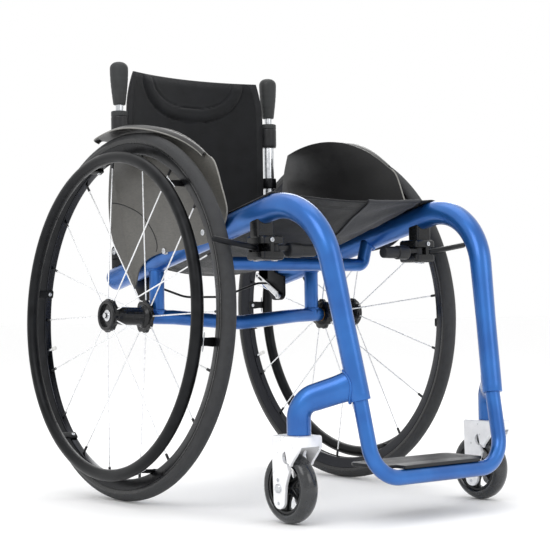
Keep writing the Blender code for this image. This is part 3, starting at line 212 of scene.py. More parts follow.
def eased(piece, width, segments=2, angle=32.0):
    """Edges broken with a small round, as a file or a mould leaves them."""
    edge = piece.modifiers.new("edge", "BEVEL")
    edge.width = width
    edge.segments = segments
    edge.limit_method = "ANGLE"
    edge.angle_limit = math.radians(angle)
    edge.harden_normals = False
    return applied(piece)


def walled(piece, thickness, even=False):
    """A sheet of faces given a wall, half of it to each side."""
    wall = piece.modifiers.new("thickness", "SOLIDIFY")
    wall.thickness = thickness
    wall.offset = 0.0
    wall.use_even_offset = even
    return applied(piece)


def moved(piece, matrix):
    """A piece moved in its mesh, so that the object itself stays at the origin."""
    piece.data.transform(matrix)
    return piece


def coloured(piece, number):
    """A part with one material number on all its faces."""
    for face in piece.data.polygons:
        face.material_index = number
    return piece


def round_path(points, bends, step=math.radians(4.0)):
    """A path through its corner points, with an arc of a given radius at each inner one."""
    path = [Vector(points[0])]
    for before, corner, after, radius in zip(points, points[1:], points[2:], bends):
        back = (Vector(before) - corner).normalized()
        ahead = (Vector(after) - corner).normalized()
        turn = math.pi - back.angle(ahead)
        middle = corner + (back + ahead).normalized() * radius / math.cos(turn / 2)
        start = corner + back * radius * math.tan(turn / 2) - middle
        count = max(2, math.ceil(turn / step))
        axis = back.cross(ahead).normalized()
        path += [middle + Matrix.Rotation(-turn * i / count, 3, axis) @ start
                 for i in range(count + 1)]
    path.append(Vector(points[-1]))
    return path


def spaced(path, step):
    """The same path with points no further apart than a step."""
    dense = [path[0]]
    for a, b in zip(path, path[1:]):
        count = max(1, math.ceil((b - a).length / step))
        dense += [a.lerp(b, i / count) for i in range(1, count + 1)]
    return dense


def frames(path):
    """Two unit vectors square to the path at each of its points, without twist."""
    made = []
    side = None
    for i, point in enumerate(path):
        way = (path[min(i + 1, len(path) - 1)] - point).normalized()
        way += (point - path[max(i - 1, 0)]).normalized()
        way.normalize()
        if side is None:
            side = way.orthogonal()
            if abs(way.x) < 0.9:
                side = way.cross(Vector((1, 0, 0))).cross(way)
        side = (side - way * side.dot(way)).normalized()
        made.append((side.copy(), way.cross(side)))
    return made


def round_turns(count):
    """The angles of points spread evenly round a circle."""
    return [math.tau * i / count for i in range(count)]


def ring(centre, side, up, width, height, count):
    """Points round an oval that lies square to a path."""
    return [centre + side * width * math.cos(a) + up * height * math.sin(a)
            for a in round_turns(count)]


def tube(name, path, radius, count=32, soft=0.0012):
    """A round bar along a path with softly broken ends. A radius is a number or a function."""
    lengths = lengths_along(path)
    grid = []
    for k, (point, (side, up), length) in enumerate(zip(path, frames(path), lengths)):
        wide = radius(length / lengths[-1]) if callable(radius) else radius
        if soft and k in (0, len(path) - 1):
            way = (path[1] - path[0] if k == 0 else path[-2] - path[-1]).normalized()
            steps = [(0.0, soft), (soft * 0.3, soft * 0.3), (soft, 0.0)]
            for forward, less in steps if k == 0 else steps[::-1]:
                grid.append(ring(point + way * forward, side, up, wide - less, wide - less, count))
        else:
            grid.append(ring(point, side, up, wide, wide, count))
    return skin(name, grid)


def turned(name, profile, count=64):
    """A profile of (radius, height) turned about Z. It closes on itself, or on the axis."""
    closed = min(r for r, z in profile) > 0
    line = [(max(r, AXIS_GAP), z) for r, z in profile]
    grid = [[Vector((r * math.cos(a), r * math.sin(a), z)) for r, z in line]
            for a in round_turns(count)]
    piece = skin(name, grid, around=closed, ring=True)
    if not closed:
        work = bmesh.new()
        work.from_mesh(piece.data)
        bmesh.ops.remove_doubles(work, verts=work.verts, dist=3 * AXIS_GAP)
        bmesh.ops.recalc_face_normals(work, faces=work.faces)
        work.to_mesh(piece.data)
        work.free()
    return piece


def rounded(corners, radius=0.0004, steps=3):
    """A closed profile with each corner broken by a small arc."""
    made = []
    count = len(corners)
    for i, corner in enumerate(corners):
        p = Vector(corner[:2])
        a = Vector(corners[i - 1][:2]) - p
        b = Vector(corners[(i + 1) % count][:2]) - p
        size = corner[2] if len(corner) > 2 else radius
        reach = min(size, a.length * 0.45, b.length * 0.45)
        if reach < 1e-6 or p.x < 1e-6 or abs(a.normalized().dot(b.normalized())) > 0.995:
            made.append((p.x, p.y))
            continue
        start, end = p + a.normalized() * reach, p + b.normalized() * reach
        for k in range(steps + 1):
            t = k / steps
            q = start.lerp(p, t).lerp(p.lerp(end, t), t)
            made.append((q.x, q.y))
    return made


def slab(name, outline, low, high, axis="X"):
    """A flat outline given thickness along an axis: its points are (y, z) for X, (x, y) for Z."""
    layers = []
    for depth in (low, high):
        layers.append([Vector((depth, *p)) if axis == "X" else Vector((*p, depth)) for p in outline])
    return skin(name, layers)


def arc(centre, radius, start, end, count):
    """Points along a round stretch of an outline, between two angles in degrees."""
    angles = [math.radians(start + (end - start) * i / count) for i in range(count + 1)]
    return [(centre[0] + radius * math.cos(a), centre[1] + radius * math.sin(a)) for a in angles]


def box(name, x, y, z):
    """A plain box between two values on each axis."""
    return slab(name, [(y[0], z[0]), (y[1], z[0]), (y[1], z[1]), (y[0], z[1])], *sorted(x))


def block(name, x, y, z, edge, segments):
    """A box with rounded edges."""
    return eased(box(name, x, y, z), edge, segments)


def pointed(piece, point, way):
    """A part made along Z, turned to a direction and set at a point."""
    turn = Vector((0, 0, 1)).rotation_difference(Vector(way)).to_matrix().to_4x4()
    return moved(piece, Matrix.Translation(point) @ turn)


def screw_head(low, shoulder, lip, socket, count=28):
    """A round screw head with a dished recess, from (radius, height) of each of its edges."""
    return turned("head", rounded([(0, low), (shoulder[0], low), shoulder, lip, socket,
                                   (0, socket[1])]), count)


def mirrored(point, side):
    """A place on the left side of the chair taken to the side that is asked for."""
    return Vector((side * point[0], point[1], point[2]))


def dress(piece, name, body, nodes, slot, *looks, sharp=38.0):
    """Finish a piece: its name, materials, place in the frame, body and the nodes it stands for."""
    piece.name = name
    piece.data.name = name
    moved(piece, TO_FRAME)
    numbers = [0] * len(piece.data.polygons)
    piece.data.polygons.foreach_get("material_index", numbers)
    slots = dict(enumerate(piece.data.materials))
    piece.data.materials.clear()
    for look in looks:
        piece.data.materials.append(look)
    numbers = [looks.index(slots[number]) if slots.get(number) in looks else min(number, len(looks) - 1)
               for number in numbers]
    piece.data.polygons.foreach_set("material_index", numbers)
    piece.data.shade_smooth()
    piece.data.set_sharp_from_angle(angle=math.radians(sharp))
    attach(piece, body)
    if nodes:
        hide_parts(*nodes)
    return piece


# Materials

# Most values of a noise lie between these two
COMMON_LOW, COMMON_HIGH = 0.3, 0.7


def real_colour(code):
    """A written sRGB hex colour as the linear numbers that the shaders take."""
    parts = [int(code[i:i + 2], 16) / 255 for i in (1, 3, 5)]
    return [v / 12.92 if v <= 0.04045 else ((v + 0.055) / 1.055) ** 2.4 for v in parts] + [1.0]


def add(tree, kind, links=(), **settings):
    """One node with its settings; links name its inputs and what feeds them."""
    node = tree.nodes.new(kind)
    for key, value in settings.items():
        setattr(node, key, value)
    for socket, value in dict(links).items():
        if isinstance(value, bpy.types.NodeSocket):
            tree.links.new(value, node.inputs[socket])
        else:
            node.inputs[socket].default_value = value
    return node


def finish_of(name, base, roughness, metallic=0.0, **more):
    """A new material whose surface starts from its real colour, roughness and metal share."""
    made = bpy.data.materials.new(name)
    made.use_nodes = True
    shader = made.node_tree.nodes["Principled BSDF"]
    shader.inputs["Base Color"].default_value = real_colour(base)
    shader.inputs["Roughness"].default_value = roughness
    shader.inputs["Metallic"].default_value = metallic
    for key, value in more.items():
        shader.inputs[key.replace("_", " ")].default_value = value
    made.diffuse_color = real_colour(base)
    return made, made.node_tree, shader


def grain(tree, size, detail=3.0):
    """The value of a noise whose grains are a real size across, in metres."""
    place = add(tree, "ShaderNodeTexCoord").outputs["Object"]
    return add(tree, "ShaderNodeTexNoise", {"Vector": place, "Scale": 1.0 / size,
                                            "Detail": detail}).outputs["Fac"]


def tinted(tree, shader, source, dark, light, start=COMMON_LOW, end=COMMON_HIGH):
    """The base colour between two real colours."""
    share = add(tree, "ShaderNodeMapRange", {"Value": source, "From Min": start, "From Max": end})
    mix = add(tree, "ShaderNodeMix", {0: share.outputs["Result"], 6: real_colour(dark),
                                      7: real_colour(light)}, data_type="RGBA")
    tree.links.new(mix.outputs[2], shader.inputs["Base Color"])


def rubbed(tree, shader, source, low, high):
    """The roughness between that of polished places and that of dull ones."""
    spread = add(tree, "ShaderNodeMapRange", {"Value": source, "From Min": COMMON_LOW,
                                              "From Max": COMMON_HIGH, "To Min": low, "To Max": high})
    tree.links.new(spread.outputs["Result"], shader.inputs["Roughness"])


def raised(tree, shader, height, distance, strength):
    """Relief of a real depth in metres."""
    bump = add(tree, "ShaderNodeBump", {"Height": height, "Distance": distance,
                                        "Strength": strength})
    tree.links.new(bump.outputs["Normal"], shader.inputs["Normal"])


def ridges(tree, width, *ways):
    """Waves on the UV map, a real width from crest to crest, one for each way they run."""
    place = add(tree, "ShaderNodeUVMap", uv_map="metres").outputs["UV"]
    made = []
    for across, along in ways:
        pitch = [math.tau / width * share for share in (across, along, 0)]
        turns = add(tree, "ShaderNodeVectorMath", {0: place, 1: pitch}, operation="DOT_PRODUCT")
        wave = add(tree, "ShaderNodeMath", {0: turns.outputs["Value"]}, operation="SINE")
        made.append(wave.outputs[0])
    return made


def powder_coated_aluminium():
    """Satin metallic powder coat on welded tube: flakes give a soft long sheen under a clear film,
    with the faint orange peel of baked powder."""
    made, tree, shader = finish_of("metallic_blue_powder_coat", "#1F62AC", 0.32, 0.70,
                                   Coat_Weight=0.55, Coat_Roughness=0.18)
    cloud = grain(tree, 0.045, 2.0)
    tinted(tree, shader, cloud, "#1B59A4", "#2569B6")
    flake = grain(tree, 0.0009, 1.0)
    rubbed(tree, shader, flake, 0.30, 0.42)
    peel = grain(tree, 0.0035, 2.0)
    raised(tree, shader, peel, 0.00012, 0.5)
    return made


def slick_tyre_rubber():
    """Smooth road tyre: dull carbon-black rubber, its tread rolled with a fine slanting knurl.
    The knurl is drawn at 2.2 mm, twice its real pitch, so that it shows."""
    made, tree, shader = finish_of("slick_tyre_rubber", "#28292B", 0.62, 0.0,
                                   Specular_IOR_Level=0.45)
    first, other = ridges(tree, 0.0022, (1, 1), (1, -1))
    knurl = add(tree, "ShaderNodeMath", {0: first, 1: other}, operation="MULTIPLY").outputs[0]
    dust = grain(tree, 0.010, 4.0)
    tinted(tree, shader, dust, "#232426", "#333436")
    rubbed(tree, shader, dust, 0.52, 0.72)
    raised(tree, shader, knurl, 0.0003, 0.55)
    return made


def sidewall_rubber():
    """The moulded wear line of the tyre's side: smoother rubber than the tread, so it glints."""
    made, tree, shader = finish_of("moulded_sidewall_rubber", "#111214", 0.30)
    skin_marks = grain(tree, 0.004, 3.0)
    rubbed(tree, shader, skin_marks, 0.24, 0.38)
    return made


def black_anodised_aluminium(name="black_anodised_aluminium", base="#17181A", light="#222326",
                             rough=(0.26, 0.38)):
    """Extruded aluminium, fine blasted and dyed black: a dark satin metal with a bright edge."""
    made, tree, shader = finish_of(name, base, 0.32, 0.75)
    cloud = grain(tree, 0.020, 3.0)
    tinted(tree, shader, cloud, base, light)
    rubbed(tree, shader, cloud, *rough)
    blast = grain(tree, 0.0007, 2.0)
    raised(tree, shader, blast, 0.00004, 0.5)
    return made


def anodised_rim_aluminium():
    """Rolled aluminium, anodised black and polished: dark, with hair-fine rings along the rim."""
    made, tree, shader = finish_of("anodised_black_rim", "#2C2D30", 0.24, 1.0)
    uv = add(tree, "ShaderNodeUVMap", uv_map="metres")
    lines = add(tree, "ShaderNodeMapping", {"Vector": uv.outputs["UV"], "Scale": (30.0, 3500.0, 1.0)})
    hairs = add(tree, "ShaderNodeTexNoise", {"Vector": lines.outputs["Vector"], "Scale": 1.0,
                                             "Detail": 2.0}).outputs["Fac"]
    rubbed(tree, shader, hairs, 0.16, 0.26)
    tinted(tree, shader, hairs, "#232427", "#3A3B3F")
    raised(tree, shader, hairs, 0.00003, 0.4)
    return made


def bright_metal(name, dark, light, rough, metal=1.0):
    """Drawn or turned metal without a coat: it mirrors its surroundings softly, through fine marks
    of the tool and small rub marks."""
    made, tree, shader = finish_of(name, dark, 0.22, metal)
    marks = grain(tree, 0.006, 4.0)
    tinted(tree, shader, marks, dark, light)
    rubbed(tree, shader, marks, *rough)
    drawn = grain(tree, 0.0012, 2.0)
    raised(tree, shader, drawn, 0.00003, 0.4)
    return made


def silver_forging_with_painted_highlight():
    """Forged aluminium under silver lacquer, satin, with a forged skin. Its near-white colour is partly
    the lacquer's own silver and partly a painted highlight.
    """
    made, tree, shader = finish_of("silver_forging_painted_highlight", "#F0F1F3", 0.32, 0.35,
                                   Coat_Weight=0.3, Coat_Roughness=0.2)
    skin_marks = grain(tree, 0.012, 3.0)
    tinted(tree, shader, skin_marks, "#ECEDEF", "#F7F7F9")
    rubbed(tree, shader, skin_marks, 0.27, 0.38)
    forged = grain(tree, 0.0022, 3.0)
    raised(tree, shader, forged, 0.00008, 0.5)
    return made


def caster_polyurethane():
    """Cast polyurethane of a small solid tyre: dark grey, glossy, a little dusty where it rolls."""
    made, tree, shader = finish_of("cast_polyurethane", "#26282B", 0.22, 0.0,
                                   Coat_Weight=0.35, Coat_Roughness=0.12)
    dust = grain(tree, 0.008, 4.0)
    tinted(tree, shader, dust, "#1B1D1F", "#27292C")
    rubbed(tree, shader, dust, 0.17, 0.32)
    scuffs = grain(tree, 0.0015, 3.0)
    raised(tree, shader, scuffs, 0.00006, 0.4)
    return made


def moulded_nylon(name="moulded_black_nylon", base="#151618", light="#212225", rough=(0.34, 0.50),
                  size=0.0008, depth=0.00008):
    """Glass-filled nylon from a spark-eroded mould: black, even, with a fine leather-like grain."""
    made, tree, shader = finish_of(name, base, 0.42, Specular_IOR_Level=0.38)
    cloud = grain(tree, 0.015, 3.0)
    tinted(tree, shader, cloud, base, light)
    rubbed(tree, shader, cloud, *rough)
    spark = grain(tree, size, 2.0)
    raised(tree, shader, spark, depth, 0.6)
    return made


def grip_rubber():
    """Moulded rubber of the push handles: matt black, polished a little where hands hold it."""
    made, tree, shader = finish_of("moulded_grip_rubber", "#1C1E1F", 0.58)
    wear = grain(tree, 0.022, 3.0)
    tinted(tree, shader, wear, "#181A1B", "#2A2D2E")
    rubbed(tree, shader, wear, 0.42, 0.66)
    pores = grain(tree, 0.0011, 3.0)
    raised(tree, shader, pores, 0.00014, 0.7)
    return made


def woven(name, dark, light, thread, rough, depth, twill=True, sheen=0.15):
    """A cloth whose threads are a real size across: twill runs its ridges on the slant."""
    made, tree, shader = finish_of(name, dark, rough, Sheen_Weight=sheen, Sheen_Roughness=0.45,
                                   Specular_IOR_Level=0.22)
    weft, warp = ridges(tree, thread, *(((1, 1), (2, -2)) if twill else ((1, 0), (0, 1))))
    pattern = add(tree, "ShaderNodeMath", {0: warp, 1: 0.4 if twill else 1.0, 2: weft},
                  operation="MULTIPLY_ADD").outputs[0]
    handling = grain(tree, 0.030, 4.0)
    mixed = add(tree, "ShaderNodeMath", {0: pattern, 1: 0.10, 2: handling}, operation="MULTIPLY_ADD")
    tinted(tree, shader, mixed.outputs[0], dark, light, 0.25, 0.80)
    rubbed(tree, shader, handling, rough - 0.08, rough + 0.08)
    raised(tree, shader, pattern, depth, 0.6)
    return made


def moulded_composite(name, base, light, rough):
    """A pressed composite panel: warm grey, satin, with short fibres lying under its skin."""
    made, tree, shader = finish_of(name, base, 0.36, 0.0, Coat_Weight=0.2, Coat_Roughness=0.25)
    place = add(tree, "ShaderNodeTexCoord")
    stretch = add(tree, "ShaderNodeMapping", {"Vector": place.outputs["Object"],
                                              "Scale": (900.0, 160.0, 620.0)})
    fibres = add(tree, "ShaderNodeTexNoise", {"Vector": stretch.outputs["Vector"], "Scale": 1.0,
                                              "Detail": 2.0}).outputs["Fac"]
    tinted(tree, shader, fibres, base, light)
    cloud = grain(tree, 0.025, 3.0)
    rubbed(tree, shader, cloud, *rough)
    raised(tree, shader, fibres, 0.00004, 0.4)
    return made


BLUE = powder_coated_aluminium()
TREAD = slick_tyre_rubber()
SIDEWALL = sidewall_rubber()
BLACK_METAL = black_anodised_aluminium()
HANDRIM_COAT = black_anodised_aluminium("anodised_handrim", "#131416", "#1F2022", (0.34, 0.46))
RIM_BLACK = anodised_rim_aluminium()
STEEL = bright_metal("stainless_steel", "#B5B8BC", "#DADCDF", (0.16, 0.28))
# The spokes look pale, so their steel is drawn near white and only part metal: a painted highlight for
# the light the silver spokes catch
SPOKE_PAINTED_HIGHLIGHT = bright_metal("spoke_steel_painted_highlight", "#ECEDEF", "#FAFBFC", (0.24, 0.34), 0.2)
POLISHED = bright_metal("polished_aluminium", "#CBCDD0", "#E6E7E9", (0.10, 0.20))
FORK_SILVER_PAINTED_HIGHLIGHT = silver_forging_with_painted_highlight()
POLYURETHANE = caster_polyurethane()
NYLON = moulded_nylon()
GLOSS_NYLON = moulded_nylon("polished_black_nylon", "#0E0F10", "#1B1C1E", (0.18, 0.30), 0.002, 0.00003)
RUBBER = grip_rubber()
SEAT_CLOTH = woven("coated_seat_nylon", "#0E0F11", "#191A1D", 0.0012, 0.46, 0.00010, False, 0.05)
BACK_CLOTH = woven("woven_back_cloth", "#131416", "#232427", 0.0026, 0.78, 0.00030)
SIDE_STRIP = woven("shiny_edge_webbing", "#121315", "#2A2B2E", 0.0016, 0.38, 0.00014, False, 0.0)
FLAP_CLOTH = woven("grey_flap_cloth", "#303134", "#3E3F43", 0.0014, 0.62, 0.00012, False, 0.1)
PIPING = woven("folded_hem_tape", "#101113", "#232427", 0.0010, 0.55, 0.00012, False, 0.05)
PALE_THREAD = woven("polyester_thread", "#55575B", "#75777C", 0.0006, 0.60, 0.00006, True, 0.1)
DARK_THREAD = woven("dark_polyester_thread", "#1B1C1E", "#303134", 0.0006, 0.60, 0.00006, True, 0.1)
GUARD_SHELL = moulded_composite("pressed_guard_composite", "#4A4946", "#575550", (0.34, 0.46))
# The guard's edge lines are drawn lighter than the panel: a painted highlight where the edges catch the
# light
GUARD_EDGE_PAINTED_HIGHLIGHT = moulded_composite("guard_edge_painted_highlight", "#706F6B", "#8B8A85", (0.30, 0.42))
# The flare is the panel's composite drawn darker: painted shade on the curl over the tyre
GUARD_FLARE_PAINTED_SHADE = moulded_composite("guard_flare_painted_shade", "#262626", "#333231", (0.30, 0.42))
# The panel's inner face is the same composite drawn near black: painted shade on the side turned towards
# the chair
GUARD_INSIDE_PAINTED_SHADE = moulded_composite("guard_inside_painted_shade", "#0D0D0E", "#171718", (0.38, 0.50))
BRONZE = bright_metal("sintered_bronze", "#94703F", "#B98F5C", (0.30, 0.42))
VALVE_CAP = moulded_nylon("white_valve_cap", "#E4E4E0", "#F1F1EE", (0.36, 0.48), 0.0008, 0.00004)


# Things that repeat along a line or round an axle, each grown by a small node tree

def node_tree(name, inputs):
    """An empty geometry tree with named inputs for its sizes."""
    tree = bpy.data.node_groups.new(name, "GeometryNodeTree")
    tree.interface.new_socket(name="Geometry", in_out="INPUT", socket_type="NodeSocketGeometry")
    tree.interface.new_socket(name="Geometry", in_out="OUTPUT", socket_type="NodeSocketGeometry")
    for label, kind, value in inputs:
        socket = tree.interface.new_socket(name=label, in_out="INPUT", socket_type=kind)
        if value is not None:
            socket.default_value = value
    return tree, tree.nodes.new("NodeGroupInput").outputs, tree.nodes.new("NodeGroupOutput").inputs


def grown(tree, holder, values):
    """A tree run on a holder with the given sizes, and made a plain mesh."""
    step = holder.modifiers.new("grown", "NODES")
    step.node_group = tree
    for item in tree.interface.items_tree:
        if item.in_out == "INPUT" and item.name in values:
            step[item.identifier] = values[item.name]
    return applied(holder)


def beads_tree():
    """Small rounded grains in a row: weld puddles, or the visible stitches of a seam."""
    length = "NodeSocketFloat"
    tree, given, out = node_tree("grains_along_a_line", [
        ("Spacing", length, 0.0016), ("Length", length, 0.0016), ("Width", length, 0.0018),
        ("Height", length, 0.0010), ("Material", "NodeSocketMaterial", None)])
    line = add(tree, "GeometryNodeMeshToCurve", {"Mesh": given["Geometry"]})
    spaced_line = add(tree, "GeometryNodeResampleCurve",
                      {"Curve": line.outputs["Curve"], "Length": given["Spacing"]}, mode="LENGTH")
    grain_shape = add(tree, "GeometryNodeMeshIcoSphere", {"Radius": 1.0, "Subdivisions": 2})
    size = add(tree, "ShaderNodeCombineXYZ", {"X": given["Length"], "Y": given["Width"],
                                              "Z": given["Height"]})
    along = add(tree, "GeometryNodeInputTangent")
    turn = add(tree, "FunctionNodeAlignRotationToVector", {"Vector": along.outputs["Tangent"]},
               axis="X")
    row = add(tree, "GeometryNodeInstanceOnPoints",
              {"Points": spaced_line.outputs["Curve"], "Instance": grain_shape.outputs["Mesh"],
               "Rotation": turn.outputs["Rotation"], "Scale": size.outputs["Vector"]})
    real = add(tree, "GeometryNodeRealizeInstances", {"Geometry": row.outputs["Instances"]})
    smooth = add(tree, "GeometryNodeSetShadeSmooth", {"Geometry": real.outputs["Geometry"]})
    done = add(tree, "GeometryNodeSetMaterial", {"Geometry": smooth.outputs["Geometry"],
                                                 "Material": given["Material"]})
    tree.links.new(done.outputs["Geometry"], out["Geometry"])
    return tree


def spokes_tree():
    """One side's spokes with their nipples, fanned round the wheel's axle."""
    number, length = "NodeSocketInt", "NodeSocketFloat"
    tree, given, out = node_tree("fan_of_spokes", [
        ("Count", number, 9), ("Phase", length, 0.0), ("Foot Radius", length, 0.0236),
        ("Rim Radius", length, 0.26), ("Root", length, 0.0315), ("Spoke Radius", length, 0.0014),
        ("Nipple Length", length, 0.013), ("Nipple Radius", length, 0.0023),
        ("Spoke Material", "NodeSocketMaterial", None), ("Nipple Material", "NodeSocketMaterial", None)])
    run = add(tree, "ShaderNodeMath", {0: given["Rim Radius"], 1: given["Foot Radius"]},
              operation="SUBTRACT").outputs[0]
    lean = add(tree, "ShaderNodeMath", {0: given["Root"], 1: run}, operation="ARCTAN2").outputs[0]
    share = add(tree, "ShaderNodeMath", {0: lean}, operation="COSINE").outputs[0]
    reach = add(tree, "ShaderNodeMath", {0: run, 1: share}, operation="DIVIDE").outputs[0]
    flat = add(tree, "ShaderNodeMath", {0: lean, 1: math.pi / 2}, operation="ADD").outputs[0]
    tilt = add(tree, "ShaderNodeCombineXYZ", {"Y": flat})
    inner_end = add(tree, "ShaderNodeMath", {0: reach, 1: given["Nipple Length"]},
                    operation="SUBTRACT").outputs[0]
    parts = []
    for thick, long, start, material in (
            (given["Spoke Radius"], reach, 0.0, given["Spoke Material"]),
            (given["Nipple Radius"], given["Nipple Length"], inner_end, given["Nipple Material"])):
        bar = add(tree, "GeometryNodeMeshCylinder", {"Vertices": 12, "Radius": thick, "Depth": long})
        middle = add(tree, "ShaderNodeMath", {0: long, 1: 0.5, 2: start}, operation="MULTIPLY_ADD")
        lift = add(tree, "ShaderNodeCombineXYZ", {"Z": middle.outputs[0]})
        raised_bar = add(tree, "GeometryNodeTransform", {"Geometry": bar.outputs["Mesh"],
                                                         "Translation": lift.outputs["Vector"]})
        foot = add(tree, "ShaderNodeCombineXYZ", {"X": given["Foot Radius"], "Z": given["Root"]})
        leant = add(tree, "GeometryNodeTransform",
                    {"Geometry": raised_bar.outputs["Geometry"], "Rotation": tilt.outputs["Vector"],
                     "Translation": foot.outputs["Vector"]})
        parts.append(add(tree, "GeometryNodeSetMaterial", {"Geometry": leant.outputs["Geometry"],
                                                           "Material": material}))
    both = add(tree, "GeometryNodeJoinGeometry")
    for part in parts:
        tree.links.new(part.outputs["Geometry"], both.inputs["Geometry"])
    points = add(tree, "GeometryNodePoints", {"Count": given["Count"]})
    index = add(tree, "GeometryNodeInputIndex").outputs["Index"]
    step = add(tree, "ShaderNodeMath", {0: math.tau, 1: given["Count"]}, operation="DIVIDE").outputs[0]
    angle = add(tree, "ShaderNodeMath", {0: index, 1: step, 2: given["Phase"]},
                operation="MULTIPLY_ADD").outputs[0]
    turn = add(tree, "ShaderNodeCombineXYZ", {"Z": angle})
    fan = add(tree, "GeometryNodeInstanceOnPoints",
              {"Points": points.outputs["Points"], "Instance": both.outputs["Geometry"],
               "Rotation": turn.outputs["Vector"]})
    real = add(tree, "GeometryNodeRealizeInstances", {"Geometry": fan.outputs["Instances"]})
    smooth = add(tree, "GeometryNodeSetShadeSmooth", {"Geometry": real.outputs["Geometry"]})
    tree.links.new(smooth.outputs["Geometry"], out["Geometry"])
    return tree


BEADS = beads_tree()
FAN = spokes_tree()


def line_holder(name, lines, closed=False):
    """A mesh of bare edges through lists of points, for a tree to lay something along."""
    points, edges = [], []
    for line in lines:
        first = len(points)
        points += [tuple(p) for p in line]
        edges += [(first + i, first + i + 1) for i in range(len(line) - 1)]
        if closed:
            edges.append((len(points) - 1, first))
    mesh = bpy.data.meshes.new(name)
    mesh.from_pydata(points, edges, [])
    return new_object(name, mesh)


def beaded(name, lines, look, spacing, length, width, height, closed=False):
    """Grains of one material along lines: welds, stitches or ribs."""
    return grown(BEADS, line_holder(name, lines, closed),
                 {"Spacing": spacing, "Length": length, "Width": width, "Height": height,
                  "Material": look})


# Frame tubes

def rail_at(y, side=1):
    """The middle of the seat rail at a place along the chair."""
    along = (RAIL_REAR.y - y) / (RAIL_REAR.y - KNEE.y)
    return Vector((side * (RAIL_REAR.x + (KNEE.x - RAIL_REAR.x) * along), y,
                   RAIL_REAR.z + RAIL_SLOPE * (RAIL_REAR.y - y)))


def down_at(z, side=1):
    """The middle of the front down tube at a height."""
    point = KNEE + DOWN_WAY * ((z - KNEE.z) / DOWN_WAY.z)
    return mirrored(point, side)


def side_radius(along):
    """The side tube's radius at a share of its length: it narrows below the knee."""
    share = min(max((along - 0.56) / 0.30, 0.0), 1.0)
    return RAIL_R + (DOWN_R - RAIL_R) * share


def side_tube(side, word):
    """Seat rail, knee and down tube in one bend, open at both ends."""
    path = spaced(round_path([mirrored(p, side) for p in (RAIL_REAR, KNEE, DOWN_FOOT)], [KNEE_BEND]),
                  0.010)
    bar = tube("side_tube", path, side_radius, 48)
    rear_way = (path[0] - path[1]).normalized()
    plug = tube("plug", [path[0] + rear_way * 0.004, path[0] - rear_way * 0.014], 0.0168, 40)
    socket = tube("socket", [down_at(DOWN_FOOT.z - 0.004, side), down_at(DOWN_FOOT.z + 0.052, side)],
                  LEG_R + FIT, 40)
    carved(bar, "DIFFERENCE", plug, socket)
    dress(bar, "side_tube_dressed_" + word, "frame", ["side_tube_" + word], "frame_blue", BLUE)


def rail_end_cap(side, word):
    """A moulded plug with a domed rim that leaves the tube's blue edge showing."""
    cap = turned("cap", [(0, 0.0030), (0.0120, 0.0029), (0.0160, 0.0024), (0.0173, 0.0012),
                         (0.0174, 0.0003), (0.0166, 0.0003), (0.0164, -0.0110), (0, -0.0110)], 48)
    way = rail_at(RAIL_REAR.y, side) - rail_at(KNEE.y, side)
    pointed(cap, rail_at(RAIL_REAR.y, side), way)
    dress(cap, "rail_end_cap_dressed_" + word, "frame", ["rail_end_cap_" + word], "black_plastic",
          NYLON)


def steps_between(value, knots):
    """A value read off straight lines from one knot to the next."""
    for (a, p), (b, q) in zip(knots, knots[1:]):
        if value <= b:
            t = min(max((value - a) / (b - a), 0.0), 1.0)
            return p + (q - p) * t
    return knots[-1][1]


def arm_rings(side):
    """The caster arm: a deep oval at the down tube that runs into the round head."""
    elbow = mirrored((HEAD.x, HEAD.y, 0.170), side)
    root = down_at(0.196, side)
    path = spaced(round_path([root, elbow, mirrored(HEAD, side)], [0.030], math.radians(6)), 0.006)
    across = (path[-1] - path[0]).cross(Vector((0, 0, 1))).normalized()
    knots = [(0.0, 0.0), (0.0638, 0.33), (0.0733, 0.67), (0.0828, 1.0), (1.0, 1.0)]
    arm_wide, arm_tall = 0.0130, 0.0200
    rings = []
    for i, (point, length) in enumerate(zip(path, lengths_along(path))):
        way = (path[min(i + 1, len(path) - 1)] - path[max(i - 1, 0)]).normalized()
        if i == len(path) - 1:
            way = Vector((0, 0, -1))
        share = steps_between(length, knots)
        flare = 0.0035 * max(0.0, 1 - length / 0.034) ** 2
        wide = arm_wide + (HEAD_R - arm_wide) * share
        tall = arm_tall + flare + (HEAD_R - arm_tall) * share
        rings.append((point, across, way.cross(across), wide, tall))
    return rings


def ray_on_bar(point, way, base, axis, radius):
    """Where a ray first meets a round bar, or None."""
    off = point - base
    a = way - axis * way.dot(axis)
    b = off - axis * off.dot(axis)
    q = a.dot(b) ** 2 - a.dot(a) * (b.dot(b) - radius ** 2)
    if q < 0:
        return None
    return point + way * ((-a.dot(b) - math.sqrt(q)) / a.dot(a))


